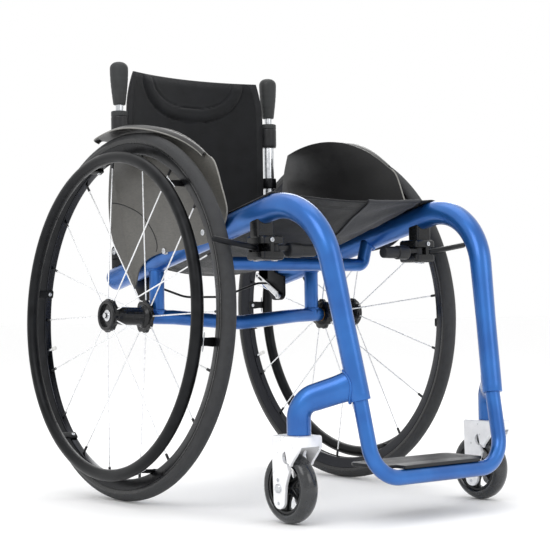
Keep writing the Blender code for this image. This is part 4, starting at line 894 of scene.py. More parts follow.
def caster_arm(side, word):
    """The arm with its bored head, and the weld where it meets the down tube."""
    rings = arm_rings(side)
    grid = [ring(*r, 48) for r in rings]
    point, across, up, wide, tall = rings[-1]
    grid.insert(-1, ring(point + Vector((0, 0, 0.0008)), across, up, wide, tall, 48))
    grid[-1] = ring(point, across, up, wide - 0.0008, tall - 0.0008, 48)
    arm = skin("arm", grid)
    bore = tube("bore", [mirrored(HEAD, side) - Vector((0, 0, 0.004)),
                         mirrored(HEAD, side) + Vector((0, 0, 0.034))], 0.0113, 40)
    hollow = tube("hollow", [down_at(0.30, side), down_at(0.166, side)], DOWN_R - 0.0012, 40)
    carved(arm, "DIFFERENCE", bore, hollow)
    away, across, up = rings[5][:3]
    towards = (rings[0][0] - away).normalized()
    line = []
    for a in round_turns(96):
        start = away + across * 0.0132 * math.cos(a) + up * 0.0228 * math.sin(a) - towards * 0.02
        met = ray_on_bar(start, towards, down_at(0.2, side), mirrored(DOWN_WAY, side), DOWN_R)
        if met:
            line.append(met)
    weld = beaded("weld", [line], BLUE, 0.0016, 0.0019, 0.0021, 0.0021, True)
    dress(arm, "caster_arm_dressed_" + word, "frame", ["caster_arm_" + word], "frame_blue", BLUE)
    dress(weld, "caster_arm_weld_" + word, "frame", [], "frame_blue", BLUE)


def wheel_place(side):
    """From a wheel lying flat to its cambered place on the axle."""
    turn = Matrix.Rotation(side * (math.pi / 2 - CAMBER), 4, "Y")
    return Matrix.Translation((side * HUB_X, 0, HUB_Z)) @ turn


def axle_path():
    """Straight along each wheel's axle at its ends, and lower in the middle."""
    points = []
    for side in (1, -1):
        place = wheel_place(side)
        ends = [place @ Vector((0, 0, TUBE_END)), place @ Vector((0, 0, TUBE_END - 0.052))]
        points += ends if side == 1 else ends[::-1]
    points.insert(2, Vector((0, 0, HUB_Z - AXLE_TUBE_DROP)))
    return spaced(round_path(points, [0.10, 0.20, 0.10], math.radians(1.0)), 0.012)


def weld_on_rail(centre, way, radius, side):
    """The line where a round tube, run from a point along a way, meets the seat rail."""
    axis = (rail_at(-0.3, side) - rail_at(0.1, side)).normalized()
    first, second = frames([centre, centre + way])[0]
    line = []
    for a in round_turns(72):
        start = centre + first * radius * math.cos(a) + second * radius * math.sin(a)
        met = ray_on_bar(start, way, rail_at(0, side), axis, RAIL_R)
        if met:
            line.append(met)
    return line


def under_frame():
    """Axle tube, its two struts and the curved cross tube, with their welds."""
    bar = tube("axle_tube", axle_path(), AXLE_TUBE_R, 40)
    ends = []
    for side in (1, -1):
        place = wheel_place(side)
        ends.append(tube("bore", [place @ Vector((0, 0, TUBE_END + 0.004)),
                                  place @ Vector((0, 0, TUBE_END - 0.05))], 0.0091, 32))
    carved(bar, "DIFFERENCE", *ends)
    dress(bar, "axle_tube_dressed", "frame", ["axle_tube"], "frame_blue", BLUE)
    welds = []
    for side, word in SIDES:
        top = rail_at(0, side)
        foot = HUB_Z - (HUB_X - abs(top.x)) * math.tan(CAMBER)
        strut = tube("strut", [Vector((top.x, 0, foot)), top - Vector((0, 0, 0.004))], STRUT_R, 40)
        dress(strut, "axle_strut_dressed_" + word, "frame", ["axle_strut_" + word], "frame_blue", BLUE)
        welds.append(weld_on_rail(Vector((top.x, 0, foot)), Vector((0, 0, 1)), STRUT_R, side))
        welds.append(ring(Vector((top.x, 0, foot + 0.0105)), Vector((1, 0, 0)), Vector((0, 1, 0)),
                          STRUT_R + 0.0004, STRUT_R + 0.0004, 60))
    points = []
    for side in (1, -1):
        bent = [rail_at(CROSS_CORNER.y, side) - Vector((side * 0.010, 0, 0.006)),
                mirrored(CROSS_CORNER, side)]
        points += bent if side == 1 else bent[::-1]
    cross = tube("cross_tube", spaced(round_path(points, [0.012, 0.012]), 0.010), CROSS_R, 36)
    dress(cross, "cross_tube_dressed", "frame", ["cross_tube"], "frame_blue", BLUE)
    for side in (1, -1):
        top, corner = rail_at(CROSS_CORNER.y, side), mirrored(CROSS_CORNER, side)
        start = corner - (top - corner) * 0.2
        welds.append(weld_on_rail(start, (top - start).normalized(), CROSS_R, side))
    weld = beaded("weld", [line for line in welds if len(line) > 8], BLUE, 0.0015, 0.0016, 0.0018,
                  0.0018, True)
    dress(weld, "under_frame_welds", "frame", [], "frame_blue", BLUE)


def footrest():
    """The bent foot tube that slides in the down tubes, and the thin plate on its bar."""
    points = []
    for side in (1, -1):
        leg = [down_at(DOWN_FOOT.z + 0.048, side), down_at(DOWN_FOOT.z, side), mirrored(FOOT_BAR, side)]
        points += leg if side == 1 else leg[::-1]
    bar = tube("footrest", spaced(round_path(points, [0.048] * 4), 0.012), LEG_R, 36)
    dress(bar, "footrest_tube_dressed", "frame", ["footrest_tube"], "frame_blue", BLUE)
    front, waist, rear = -0.4935, -0.474, -0.3985
    top = 0.0803
    outline = arc((0.086, rear - 0.012), 0.012, 0, 90, 10)
    outline += arc((-0.086, rear - 0.012), 0.012, 90, 180, 10)
    outline += arc((-0.095, waist + 0.003), 0.003, 180, 270, 5)
    outline += [(-0.075, waist)] + arc((-0.072, front + 0.003), 0.003, 180, 270, 5)
    outline += arc((0.072, front + 0.003), 0.003, 270, 360, 5) + [(0.075, waist)]
    outline += arc((0.095, waist + 0.003), 0.003, 270, 360, 5)
    plate = eased(slab("footplate", outline, 0.0753, top, "Z"), 0.0012, 3)
    ways = [[Vector((x / 1000, -0.462 + 0.007 * i, top)) for x in range(-78, 79, 2)] for i in range(9)]
    ribs = beaded("ribs", ways, NYLON, 0.0040, 0.0014, 0.0008, 0.0005)
    dress(plate, "footplate_dressed", "frame", ["footplate"], "black_plastic", NYLON)
    dress(ribs, "footplate_tread", "frame", [], "black_plastic", NYLON)


# Casters

def fork(side, word):
    """The forged fork: a deck under the head, two arms with a slanting oval window, the stem."""
    axle = mirrored(CASTER_AXLE, side)
    x = side * HEAD.x
    top = 0.1247
    half = 0.02145
    foot_r = 0.0125
    outline = arc((axle.y, axle.z - 0.0165), foot_r, 0, -180, 18)
    outline += [(-0.3955, 0.0548), (-0.4085, 0.0868), (-0.4175, 0.0965), (-0.4230, 0.1028),
                (-0.4265, 0.1080), (-0.4270, 0.1127), (-0.4265, top - 0.0020), (-0.4245, top),
                (-0.3680, top), (-0.3655, top - 0.0030)]
    body = eased(slab("fork", outline, x - half, x + half), 0.0042, 5, 25.0)
    gap, roof = 0.01625, 0.1097
    slot = slab("slot", [(axle.y - 0.1, -0.05), (axle.y + 0.1, -0.05), (axle.y + 0.1, roof - 0.008),
                         (axle.y + 0.02, roof), (axle.y - 0.1, roof)], x - gap, x + gap)
    oval = arc((0, 0), 0.0088, 90, -90, 16) + arc((0, -0.013), 0.0052, -90, -270, 12)
    window = slab("window", oval, -0.04, 0.04)
    moved(window, Matrix.Translation((x, -0.399, 0.0948)) @ Matrix.Rotation(math.radians(-12), 4, "X"))
    hole = tube("hole", [axle - Vector((0.04, 0, 0)), axle + Vector((0.04, 0, 0))], 0.0043, 24)
    carved(body, "DIFFERENCE", slot, window, hole)
    stem = tube("stem", [Vector((x, HEAD.y, 0.112)), Vector((x, HEAD.y, 0.156))], 0.006, 24)
    screws = []
    for end in (-1, 1):
        for z, r in ((0.0625, 0.0026), (0.0300, 0.0023)):
            head = screw_head(-0.001, (r, 0.0010, 0.0005), (r * 0.5, 0.0010), (r * 0.45, 0.0002), 20)
            place = Vector((x + end * half, axle.y + (0.001 if z > 0.05 else 0.0), z))
            screws.append(coloured(pointed(head, place, (end, 0, 0)), 1))
    merged(body, stem, *screws)
    # The fork's near-white colour carries a painted highlight over its silver
    dress(body, "caster_fork_dressed_" + word, "caster_swivel_" + word, ["caster_fork_" + word],
          "silver_fork", FORK_SILVER_PAINTED_HIGHLIGHT, STEEL)


def squarish(value):
    """A sine or cosine pushed outwards, so that a full turn of them draws a rounded box."""
    return math.copysign(abs(value) ** 0.6, value)


def caster_wheel(side, word):
    """A solid tyre on a spoked hub, and the screw it turns on."""
    axle = mirrored(CASTER_AXLE, side)
    lie = Matrix.Translation(axle) @ Matrix.Rotation(math.pi / 2, 4, "Y")
    half, low = 0.014, CASTER_R - 0.0135
    depth = half * 0.72
    crown = [(CASTER_R + depth * (math.cos(a) - 1), half * math.sin(a))
             for a in [math.pi * (i / 24 - 0.5) for i in range(25)]]
    profile = [(low, -half * 0.82), (low + 0.0012, -half * 0.92)] + crown
    profile += [(low + 0.0012, half * 0.92), (low, half * 0.82)]
    tyre = moved(turned("tyre", profile, 120), lie)
    dress(tyre, "caster_tyre_dressed_" + word, "caster_wheel_" + word, ["caster_tyre_" + word],
          "caster_rubber", POLYURETHANE)
    outer = low - FIT
    ring_shape = rounded([(outer - 0.0042, -0.0106, 0.001), (outer, -0.0106, 0.0006),
                          (outer, 0.0106, 0.0006), (outer - 0.0042, 0.0106, 0.001)])
    hub_shape = rounded([(0.0043, -0.0159), (0.0088, -0.0159, 0.001), (0.0105, -0.0100, 0.001),
                         (0.0105, 0.0100, 0.001), (0.0088, 0.0159, 0.001), (0.0043, 0.0159)])
    parts = [turned("rim", ring_shape, 96), turned("hub", hub_shape, 48)]
    for i in range(5):
        rows = []
        for r, w, t in ((0.0095, 0.0064, 0.0062), (0.014, 0.0048, 0.0052), (0.021, 0.0042, 0.0046),
                        (0.029, 0.0050, 0.0052), (0.0345, 0.0078, 0.0066)):
            rows.append([Vector((r, w * squarish(math.cos(a)), t * squarish(math.sin(a))))
                         for a in round_turns(20)])
        spoke = skin("spoke", rows)
        parts.append(moved(spoke, Matrix.Rotation(math.tau * i / 5 + 0.3, 4, "Z")))
    hub = moved(merged(*parts), lie)
    dress(hub, "caster_hub_dressed_" + word, "caster_wheel_" + word, ["caster_hub_" + word],
          "black_plastic", GLOSS_NYLON)
    reach, shank, head = 0.02175, 0.0040, 0.0062
    shape = [(0, -reach - 0.0028), (0.0050, -reach - 0.0028), (head, -reach - 0.0018),
             (head, -reach), (shank, -reach), (shank, reach), (head, reach),
             (head, reach + 0.0018), (0.0050, reach + 0.0028), (0.0027, reach + 0.0028),
             (0.0025, reach + 0.0008), (0, reach + 0.0008)]
    screw = moved(turned("screw", shape, 36), lie)
    dress(screw, "caster_axle_dressed_" + word, "caster_swivel_" + word, ["caster_axle_" + word],
          "stainless_steel", STEEL)


# Rear wheels, made along Z with the wheel plane at zero and the outer side up

def spoke_way(side, angle):
    """The way out from the hub at an angle, in the flat wheel."""
    return Vector((-side * math.cos(angle), -math.sin(angle), 0))


def tyre(side, word):
    """A slick tyre: a raised tread, and a moulded line low on each side."""
    shoulder = math.acos((RIM_EDGE + FIT - TYRE_MID) / TYRE_R)
    profile = [(RIM_EDGE - 0.0063, -0.0088), (RIM_EDGE + 0.0001, -0.0088)]
    for i in range(33):
        a = shoulder * (i / 16 - 1)
        lift = 0.00045 * math.exp(-((abs(a) - 1.55) / 0.10) ** 2)
        wall = TYRE_R - TREAD_RISE + lift
        tread = TREAD_RISE if 6 < i < 25 else 0.0
        profile.append((TYRE_MID + wall * math.cos(a) + tread, wall * math.sin(a)))
    profile += [(RIM_EDGE + 0.0001, 0.0088), (RIM_EDGE - 0.0063, 0.0088)]
    piece = turned("tyre", profile, 216)
    for face in piece.data.polygons:
        slant = math.hypot(face.center.x, face.center.y) - TYRE_MID
        face.material_index = 0 if slant > 0.0022 else 1
    moved(piece, wheel_place(side))
    dress(piece, "tyre_dressed_" + word, "wheel_" + word, ["tyre_" + word], "tyre_rubber", TREAD,
          SIDEWALL, sharp=60.0)


def rim(side, word):
    """A box-section rim, black with a glossier inner band, and its valve."""
    half, bed = RIM_HALF, RIM_EDGE - 0.0066
    profile = rounded([(RIM_EDGE, half, 0.0006), (RIM_EDGE, half - 0.0024), (bed, 0.0091),
                       (bed, -0.0091), (RIM_EDGE, 0.0024 - half), (RIM_EDGE, -half, 0.0006),
                       (RIM_INNER, -half * 0.55, 0.0022), (RIM_INNER, half * 0.55, 0.0022)])
    hoop = turned("rim", profile, 216)
    for face in hoop.data.polygons:
        inner = math.hypot(face.center.x, face.center.y) < RIM_INNER + 0.0030
        face.material_index = 1 if inner or face.center.z < -0.0075 else 0
    way = spoke_way(side, SPOKE_PHASE[side] + VALVE_TURN)
    stem = tube("valve", [way * (RIM_INNER - 0.013), way * (RIM_INNER + 0.002)], 0.0027, 20)
    coloured(stem, 2)
    cap = turned("cap", rounded([(0, 0), (0.0031, 0, 0.0008), (0.0034, 0.011, 0.0006),
                                 (0, 0.0112)]), 24)
    coloured(pointed(cap, way * (RIM_INNER - 0.012), -way), 3)
    merged(hoop, stem, cap)
    moved(hoop, wheel_place(side))
    dress(hoop, "rim_dressed_" + word, "wheel_" + word, ["rim_" + word], "black_anodised",
          BLACK_METAL, RIM_BLACK, STEEL, VALVE_CAP)


def handrim(side, word):
    """The handrim on its six tabs, each with a bright screw at the rim and bright spots by the hoop."""
    profile = [(HANDRIM_R + HANDRIM_TUBE_R * math.cos(a), HANDRIM_OUT + HANDRIM_TUBE_R * math.sin(a))
               for a in round_turns(28)]
    parts = [turned("hoop", profile, 216)]
    top = RIM_INNER - FIT
    for i in range(6):
        angle = SPOKE_PHASE[side] + math.tau * (1.5 / SPOKES + i / 6)
        out = spoke_way(side, angle)
        across = Vector((-out.y, out.x, 0))
        rows = []
        for z, half, drop, thick in ((-0.0058, 0.0050, 0.0, 0.0034), (-0.0050, 0.0068, 0.0, 0.0034),
                                     (0.0080, 0.0070, 0.0, 0.0034), (0.0180, 0.0062, 0.0006, 0.0032),
                                     (0.0260, 0.0066, 0.0012, 0.0034),
                                     (HANDRIM_OUT, 0.0074, 0.0012, 0.0040)):
            outline = rounded([(top - drop - thick, -half), (top - drop, -half), (top - drop, half),
                               (top - drop - thick, half)], 0.0011, 3)
            rows.append([out * r + across * t + Vector((0, 0, z)) for r, t in outline])
        parts.append(skin("tab", rows))
        head = screw_head(-0.0004, (0.0032, 0.0012, 0.0006), (0.0013, 0.0014), (0.0012, 0.0004), 24)
        parts.append(coloured(pointed(head, out * (top - 0.0034) + Vector((0, 0, 0.0010)), -out), 1))
        clip = beaded("clip", [[out * (HANDRIM_R + 0.0062) + across * t + Vector((0, 0, 0.0245))
                                for t in (-0.0072, 0.0072)]], STEEL, 0.0145, 0.0078, 0.0010, 0.0013)
        parts.append(coloured(clip, 1))
    piece = moved(merged(*parts), wheel_place(side))
    dress(piece, "handrim_dressed_" + word, "wheel_" + word, ["handrim_" + word], "black_anodised",
          HANDRIM_COAT, STEEL)


def flange(low, high, shrink, phase):
    """A hub flange whose edge dips between the spoke holes."""
    notches = SPOKES // 2
    rows = []
    for z, less in ((low, 0.0008), (low + 0.0006, 0.0), (high - 0.0006, 0.0), (high, shrink)):
        row = []
        for a in round_turns(notches * 12):
            dip = NOTCH_DEPTH * (0.5 - 0.5 * math.cos(notches * (a - phase))) ** 2
            r = FLANGE_R - dip - less
            row.append(Vector((r * math.cos(a), r * math.sin(a), z)))
        rows.append(row)
    return skin("flange", rows)


def hub(side, word):
    """Barrel between two notched flanges, the outer one dished round the axle's button."""
    floor = HUB_FLOOR
    bore = 0.0109
    phase = math.atan2(*reversed(spoke_way(side, SPOKE_PHASE[side])[:2]))
    step = math.tau / SPOKES
    barrel = turned("barrel", rounded([
        (bore, -HUB_END), (0.0200, -HUB_END, 0.001), (0.0205, -0.0325, 0.003),
        (0.0145, -0.0270, 0.006), (0.0145, 0.010, 0.006), (0.0122, 0.0200, 0.004),
        (0.0128, 0.0255, 0.002), (0.0240, 0.0270, 0.001), (0.0250, HUB_END - 0.0015, 0.001),
        (0.0236, HUB_END, 0.0006), (0.0190, HUB_END, 0.0008), (0.0180, floor, 0.0008),
        (bore, floor)], 0.0005, 4), 96)
    made = merged(barrel, flange(-HUB_END, -0.0325, 0.0008, phase),
                  flange(0.0285, 0.0345, 0.0010, phase + step))
    bearing = turned("bearing", rounded([(0.00665, floor - 0.009), (0.0105, floor - 0.009),
                                         (0.0105, floor - 0.0003), (0.0088, floor + 0.0004, 0.0004),
                                         (0.00665, floor - 0.0003)], 0.0003), 48)
    merged(made, coloured(bearing, 1))
    moved(made, wheel_place(side))
    dress(made, "hub_dressed_" + word, "wheel_" + word,
          ["hub_and_spokes_" + word, "hub_bearing_" + word], "black_anodised", GLOSS_NYLON, STEEL)
    for first, root, label in ((0, -0.0355, "inner"), (1, 0.0315, "outer")):
        holder = line_holder("fan", [[Vector((0, 0, 0)), Vector((0, 0, 0.001))]])
        fan = grown(FAN, holder, {
            "Count": SPOKES // 2, "Phase": phase + first * step, "Foot Radius": 0.0232,
            "Rim Radius": RIM_INNER + 0.001, "Root": root, "Spoke Radius": 0.0011,
            "Nipple Length": 0.0135, "Nipple Radius": 0.0021, "Spoke Material": SPOKE_PAINTED_HIGHLIGHT,
            "Nipple Material": NYLON})
        moved(fan, wheel_place(side))
        dress(fan, label + "_spokes_" + word, "wheel_" + word, [], "stainless_steel", SPOKE_PAINTED_HIGHLIGHT,
              NYLON)


def quick_release(side, word):
    """The axle's head in the hub's dish, its silver button, and the receiver in the frame."""
    low = HUB_FLOOR + FIT
    top = low + 0.0055
    pin = turned("pin", rounded([(0.00475, top - 0.0148), (0.00635, -0.0876),
                                 (0.00635, low - 0.001), (0.0095, low), (0.0095, top, 0.0008),
                                 (0.00475, top, 0.0005)], 0.0004), 48)
    moved(pin, wheel_place(side))
    dress(pin, "quick_release_axle_dressed_" + word, "frame", ["quick_release_axle_" + word],
          "polished_aluminium", POLISHED)
    knob = turned("knob", [(0, top - 0.011), (0.0045, top - 0.011), (0.0045, top + 0.0038),
                           (0.0042, top + 0.0046), (0.0034, top + 0.0050), (0.0018, top + 0.0047),
                           (0, top + 0.0046)], 40)
    moved(knob, wheel_place(side))
    dress(knob, "release_button_dressed_" + word, "button_" + word, ["release_button_" + word],
          "polished_aluminium", POLISHED)
    bore, shank, collar = 0.0067, 0.0087, 0.0120
    foot, rim_low, rim_top = TUBE_END - 0.046, TUBE_END + FIT, -HUB_END - FIT
    sleeve = turned("sleeve", rounded([(bore, foot), (shank, foot), (shank, rim_low),
                                       (collar, rim_low), (collar, rim_top), (bore, rim_top)],
                                      0.0003), 48)
    moved(sleeve, wheel_place(side))
    dress(sleeve, "axle_sleeve_dressed_" + word, "frame", ["axle_sleeve_" + word], "bronze_bush", BRONZE)


# Seat sling and the grey flap on its front edge

def hang_slope(y):
    """The sling's angle where it leaves the rails: nearly level in front, steepest in the middle."""
    if y < SLING_DEEPEST:
        share = (y - SLING_FRONT) / (SLING_DEEPEST - SLING_FRONT)
        return math.radians(5.0 + 26.0 * math.sin(share * math.pi / 2))
    share = (y - SLING_DEEPEST) / (SLING_REAR - SLING_DEEPEST)
    return math.radians(31.0 - 13.0 * share)


def soft_folds(x, y):
    """Folds that run in from each front corner, and the small slack waves of tensioned cloth."""
    way = Vector((abs(x), y)) - Vector((KNEE.x, SLING_FRONT))
    distance = way.length
    made = 0.0
    if 0.008 < distance < 0.19:
        angle = math.atan2(way.y, -way.x)
        fade = math.sin((distance - 0.008) / 0.182 * math.pi) * min(1.0, -way.x / 0.03)
        made += 0.0034 * fade * (0.5 - 0.5 * math.cos(angle * 12 + 0.6 * math.sin(distance * 40)))
    edge = min(1.0, (0.150 - abs(x)) / 0.05) if abs(x) < 0.150 else 0.0
    made += 0.0007 * edge * noise.noise(Vector((x * 22, y * 38, 3.1)))
    made += 0.0005 * edge * noise.noise(Vector((x * 60, y * 85, 7.7)))
    return made


def sling_hang(y):
    """Where the sling leaves the rail, across and up, and how deep it sags below that."""
    rail = rail_at(y)
    slope = hang_slope(y)
    x = rail.x - LAP_R * math.sin(slope)
    return x, rail.z + LAP_R * RAIL_RISE * math.cos(slope), x * RAIL_RISE * math.tan(slope) / 2


def sling_z(x, y):
    """The height of the sling's middle layer between the rails."""
    edge, z, sag = sling_hang(y)
    return z - sag + sag * (x / edge) ** 2 + soft_folds(x, y)


def sling_section(y):
    """The middle layer of the sling at a place along the chair, from its left edge to its right."""
    columns, lap_steps = 84, 10
    rail = rail_at(y)
    step = (SLING_LAP + hang_slope(y)) / lap_steps
    edge = sling_hang(y)[0]
    lap = []
    for i in range(lap_steps):
        a = step * i - SLING_LAP
        lap.append((rail.x - LAP_R * math.sin(a), rail.z + LAP_R * RAIL_RISE * math.cos(a)))
    across = [edge * (1 - 2 * i / columns) for i in range(columns + 1)]
    return lap + [(x, sling_z(x, y)) for x in across] + [(-x, z) for x, z in reversed(lap)]


def sling_row(y, offset=0.0):
    """Points across the sling, away from its middle layer by an offset."""
    line = sling_section(y)
    row = []
    for k, (x, z) in enumerate(line):
        a, b = line[max(k - 1, 0)], line[min(k + 1, len(line) - 1)]
        row.append(Vector((x, y, z)) + Vector((b[1] - a[1], 0, a[0] - b[0])).normalized() * offset)
    return row


def seat_sling():
    """The sling's cloth with a hem at front and back, and the seams beside its hems and laps."""
    count, selvedge = 96, 0.0004
    rows = [sling_row(SLING_FRONT + selvedge + (SLING_REAR - SLING_FRONT - 2 * selvedge) * i / count)
            for i in range(count + 1)]
    cloth = walled(skin("sling", rows, around=False), SLING_T - 0.0003, even=True)
    dress(cloth, "seat_sling_cloth", "frame", ["seat_sling"], "seat_nylon", SEAT_CLOTH)
    hems = []
    for y in (SLING_FRONT + 0.0012, SLING_REAR - 0.0012):
        hems.append(tube("hem", sling_row(y), 0.0017, 12, soft=0.0))
    hem = merged(*hems)
    dress(hem, "seat_sling_hems", "frame", [], "seat_nylon", PIPING)
    seams = []
    for y in (SLING_FRONT + 0.014, SLING_FRONT + 0.018, SLING_REAR - 0.016):
        seams.append(sling_row(y, SLING_T / 2))
        seams.append(sling_row(y, -SLING_T / 2))
    columns = len(rows[0])
    for k in (13, columns - 14):
        for offset in (SLING_T / 2, -SLING_T / 2):
            seams.append([sling_row(SLING_FRONT + 0.006 + (SLING_REAR - SLING_FRONT - 0.012) * i / 60,
                                    offset)[k] for i in range(61)])
    stitches = beaded("stitches", seams, DARK_THREAD, 0.0034, 0.0013, 0.00045, 0.00035)
    dress(stitches, "seat_sling_stitches", "frame", [], "seat_nylon", DARK_THREAD)


def flap_point(x, y, offset):
    """A point just off the sling's top or underside, away from it by an offset."""
    z = sling_z(x, y)
    slope_x = (sling_z(x + 0.001, y) - sling_z(x - 0.001, y)) / 0.002
    slope_y = (sling_z(x, y + 0.001) - sling_z(x, y - 0.001)) / 0.002
    return Vector((x, y, z)) + Vector((-slope_x, -slope_y, 1)).normalized() * offset


def seat_flap():
    """The grey flap folded round the front edge, sewn down beside its own edges."""
    off = SLING_T / 2 + 0.0004 + 0.0008
    low_x, high_x = 0.0235, 0.1315
    rows = []
    for i in range(49):
        x = low_x + (high_x - low_x) * i / 48
        row = [flap_point(x, SLING_FRONT + 0.0155 * (1 - t / 8), off) for t in range(8)]
        front = Vector((x, SLING_FRONT, sling_z(x, SLING_FRONT)))
        for k in range(9):
            a = math.pi / 2 + math.pi * k / 8
            row.append(front + Vector((0, math.cos(a) * off, math.sin(a) * off)))
        reach = 0.0868 - 0.0015 * math.cos(i / 48 * math.tau)
        row += [flap_point(x, SLING_FRONT + reach * t / 30, -off) for t in range(1, 31)]
        rows.append(row)
    flap = walled(skin("flap", rows, around=False), 0.0013, even=True)
    dress(flap, "seat_flap_cloth", "frame", ["seat_flap"], "flap_grey", FLAP_CLOTH)
    under = -off - 0.0007
    inset = 0.0030
    across = [low_x + inset + (high_x - low_x - 2 * inset) * i / 40 for i in range(41)]
    lines = [[flap_point(x, SLING_FRONT + 0.083, under) for x in across]]
    for x in (low_x + inset, high_x - inset):
        lines.append([flap_point(x, SLING_FRONT + 0.002 + 0.081 * i / 30, under) for i in range(31)])
    lines.append([flap_point(x, SLING_FRONT + 0.0130, -under) for x in across])
    stitches = beaded("flap_stitches", lines, PALE_THREAD, 0.0030, 0.0012, 0.00045, 0.00035)
    dress(stitches, "seat_flap_stitches", "frame", [], "flap_grey", PALE_THREAD)


# Backrest

def cloth_half(z):
    """Half the upholstery's width at a height: it narrows above the handle clamps."""
    half = POST_X - CLAMP_R * math.cos(math.pi / 12) - 0.0004
    above = max(0.0, (z - CLAMP_TOP) / (CLOTH_TOP - CLAMP_TOP))
    return half - 0.014 * above ** 2


def arc_field(x, z, wide, high):
    """How far inside a sewn arc a point lies: one at its middle, zero on the seam."""
    down = max(0.0, (CLOTH_TOP - 0.001 - z) / high)
    return 1.0 - (abs(x) / wide) ** SEAM_POWER - down ** 2.0


def cushioning(x, z):
    """The padded band between the two sewn arcs, each seam a narrow groove, and slack ripples."""
    outer, inner = arc_field(x, z, *OUTER_SEAM), arc_field(x, z, *INNER_SEAM)
    lift = 0.0046 * min(max(outer / 0.22, 0.0), 1.0) ** 0.7
    lift -= 0.0020 * min(max(inner / 0.18, 0.0), 1.0)
    for field, width, deep in ((outer, 0.040, 0.0024), (inner, 0.055, 0.0034)):
        lift -= deep * math.exp(-(field / width) ** 2)
    pull = math.exp(-((z - 0.47) / 0.09) ** 2)
    lift += 0.0006 * noise.noise(Vector((x * 16, z * 34, 1.7))) * (0.4 + pull)
    lift += 0.0004 * noise.noise(Vector((x * 48, z * 70, 5.3)))
    return lift


def backrest_face(back):
    """Rows of points on the front or the back of the upholstery, corners and edges rolled in."""
    rows = []
    count, columns = 110, 120
    for i in range(count + 1):
        v = i / count
        z = CLOTH_LOW + (CLOTH_TOP - CLOTH_LOW) * v
        half = cloth_half(z)
        row = []
        for j in range(columns + 1):
            u = 2 * j / columns - 1
            middle = HINGE.y + CLOTH_BOW * (1 - u * u)
            edge = min(1.0, (1 - abs(u)) / 0.10, v / 0.045, (1 - v) / 0.040)
            thick = 0.004 * (0.42 + 0.58 * math.sin(edge * math.pi / 2))
            if back:
                row.append(Vector((u * half, middle + thick + 0.0002 * math.sin(u * 9), z)))
            else:
                crown = 0.003 * (1 - u * u) * math.sin(math.pi * v)
                pad = thick + crown + cushioning(u * half, z) * edge
                row.append(Vector((u * half, middle - pad, z)))
        rows.append(row)
    return rows


def joined_faces(name, front, back):
    """Two grids of points closed into one soft body by a rounded strip round their edge."""
    rows, columns = len(front), len(front[0])
    work = bmesh.new()
    uv = work.loops.layers.uv.new("metres")
    sheets = []
    for grid in (front, back):
        sheets.append([[work.verts.new(p) for p in row] for row in grid])
    for sheet_points in sheets:
        for i in range(rows - 1):
            for j in range(columns - 1):
                corners = [(i, j), (i, j + 1), (i + 1, j + 1), (i + 1, j)]
                face = work.faces.new([sheet_points[a][b] for a, b in corners])
                for loop in face.loops:
                    loop[uv].uv = (loop.vert.co.x, loop.vert.co.z)
    edge = [(0, j) for j in range(columns)] + [(i, columns - 1) for i in range(1, rows)]
    edge += [(rows - 1, j) for j in range(columns - 2, -1, -1)]
    edge += [(i, 0) for i in range(rows - 2, 0, -1)]
    for (a, b), (c, d) in zip(edge, edge[1:] + edge[:1]):
        strip = work.faces.new([sheets[0][a][b], sheets[0][c][d], sheets[1][c][d], sheets[1][a][b]])
        for loop in strip.loops:
            loop[uv].uv = (loop.vert.co.x + loop.vert.co.y, loop.vert.co.z)
    return outward(name, work)


def upholstery():
    """The padded cloth between the posts, its shiny side strips and all its lines of stitches."""
    front, back = backrest_face(False), backrest_face(True)
    cloth = joined_faces("upholstery", front, back)
    for face in cloth.data.polygons:
        spot = face.center
        face.material_index = 1 if abs(spot.x) > cloth_half(spot.z) - 0.0125 else 0
    columns = len(front[0])

    def on_face(x, z, out):
        """A place on the front of the cloth, off it by a distance."""
        v = (z - CLOTH_LOW) / (CLOTH_TOP - CLOTH_LOW) * (len(front) - 1)
        u = (x / cloth_half(z) + 1) / 2 * (columns - 1)
        i, j = min(int(v), len(front) - 2), min(int(u), columns - 2)
        p = front[i][j].lerp(front[i][j + 1], u - j)
        q = front[i + 1][j].lerp(front[i + 1][j + 1], u - j)
        return p.lerp(q, v - i) - Vector((0, out, 0))

    def arc_line(wide, high):
        """One sewn arc, stopped just under the cloth's top."""
        line = []
        for k in range(81):
            t = -1 + 2 * k / 80
            x = wide * t
            z = CLOTH_TOP - 0.001 - high * math.sqrt(max(0.0, 1 - abs(t) ** SEAM_POWER))
            if z < CLOTH_TOP - 0.006:
                line.append(on_face(x, z, -0.0001))
        return line

    lines = [arc_line(*OUTER_SEAM), arc_line(*INNER_SEAM)]
    lines.append([on_face(-0.128 + 0.256 * k / 60, CLOTH_TOP - 0.0085, -0.0001) for k in range(61)])
    lines.append([on_face(-0.130 + 0.260 * k / 60, CLOTH_LOW + 0.012, -0.0001) for k in range(61)])
    for side in (1, -1):
        for inset in (0.0125, 0.0030):
            lines.append([on_face(side * (cloth_half(z) - inset), z, -0.0001)
                          for z in [CLOTH_LOW + 0.006 + 0.300 * k / 80 for k in range(81)]])
    stitches = beaded("stitches", lines, DARK_THREAD, 0.0036, 0.0014, 0.0005, 0.0004)
    dress(cloth, "backrest_cloth", "backrest", ["backrest_upholstery"], "back_cloth", BACK_CLOTH,
          SIDE_STRIP, sharp=70.0)
    dress(stitches, "backrest_stitches", "backrest", [], "back_cloth", DARK_THREAD)


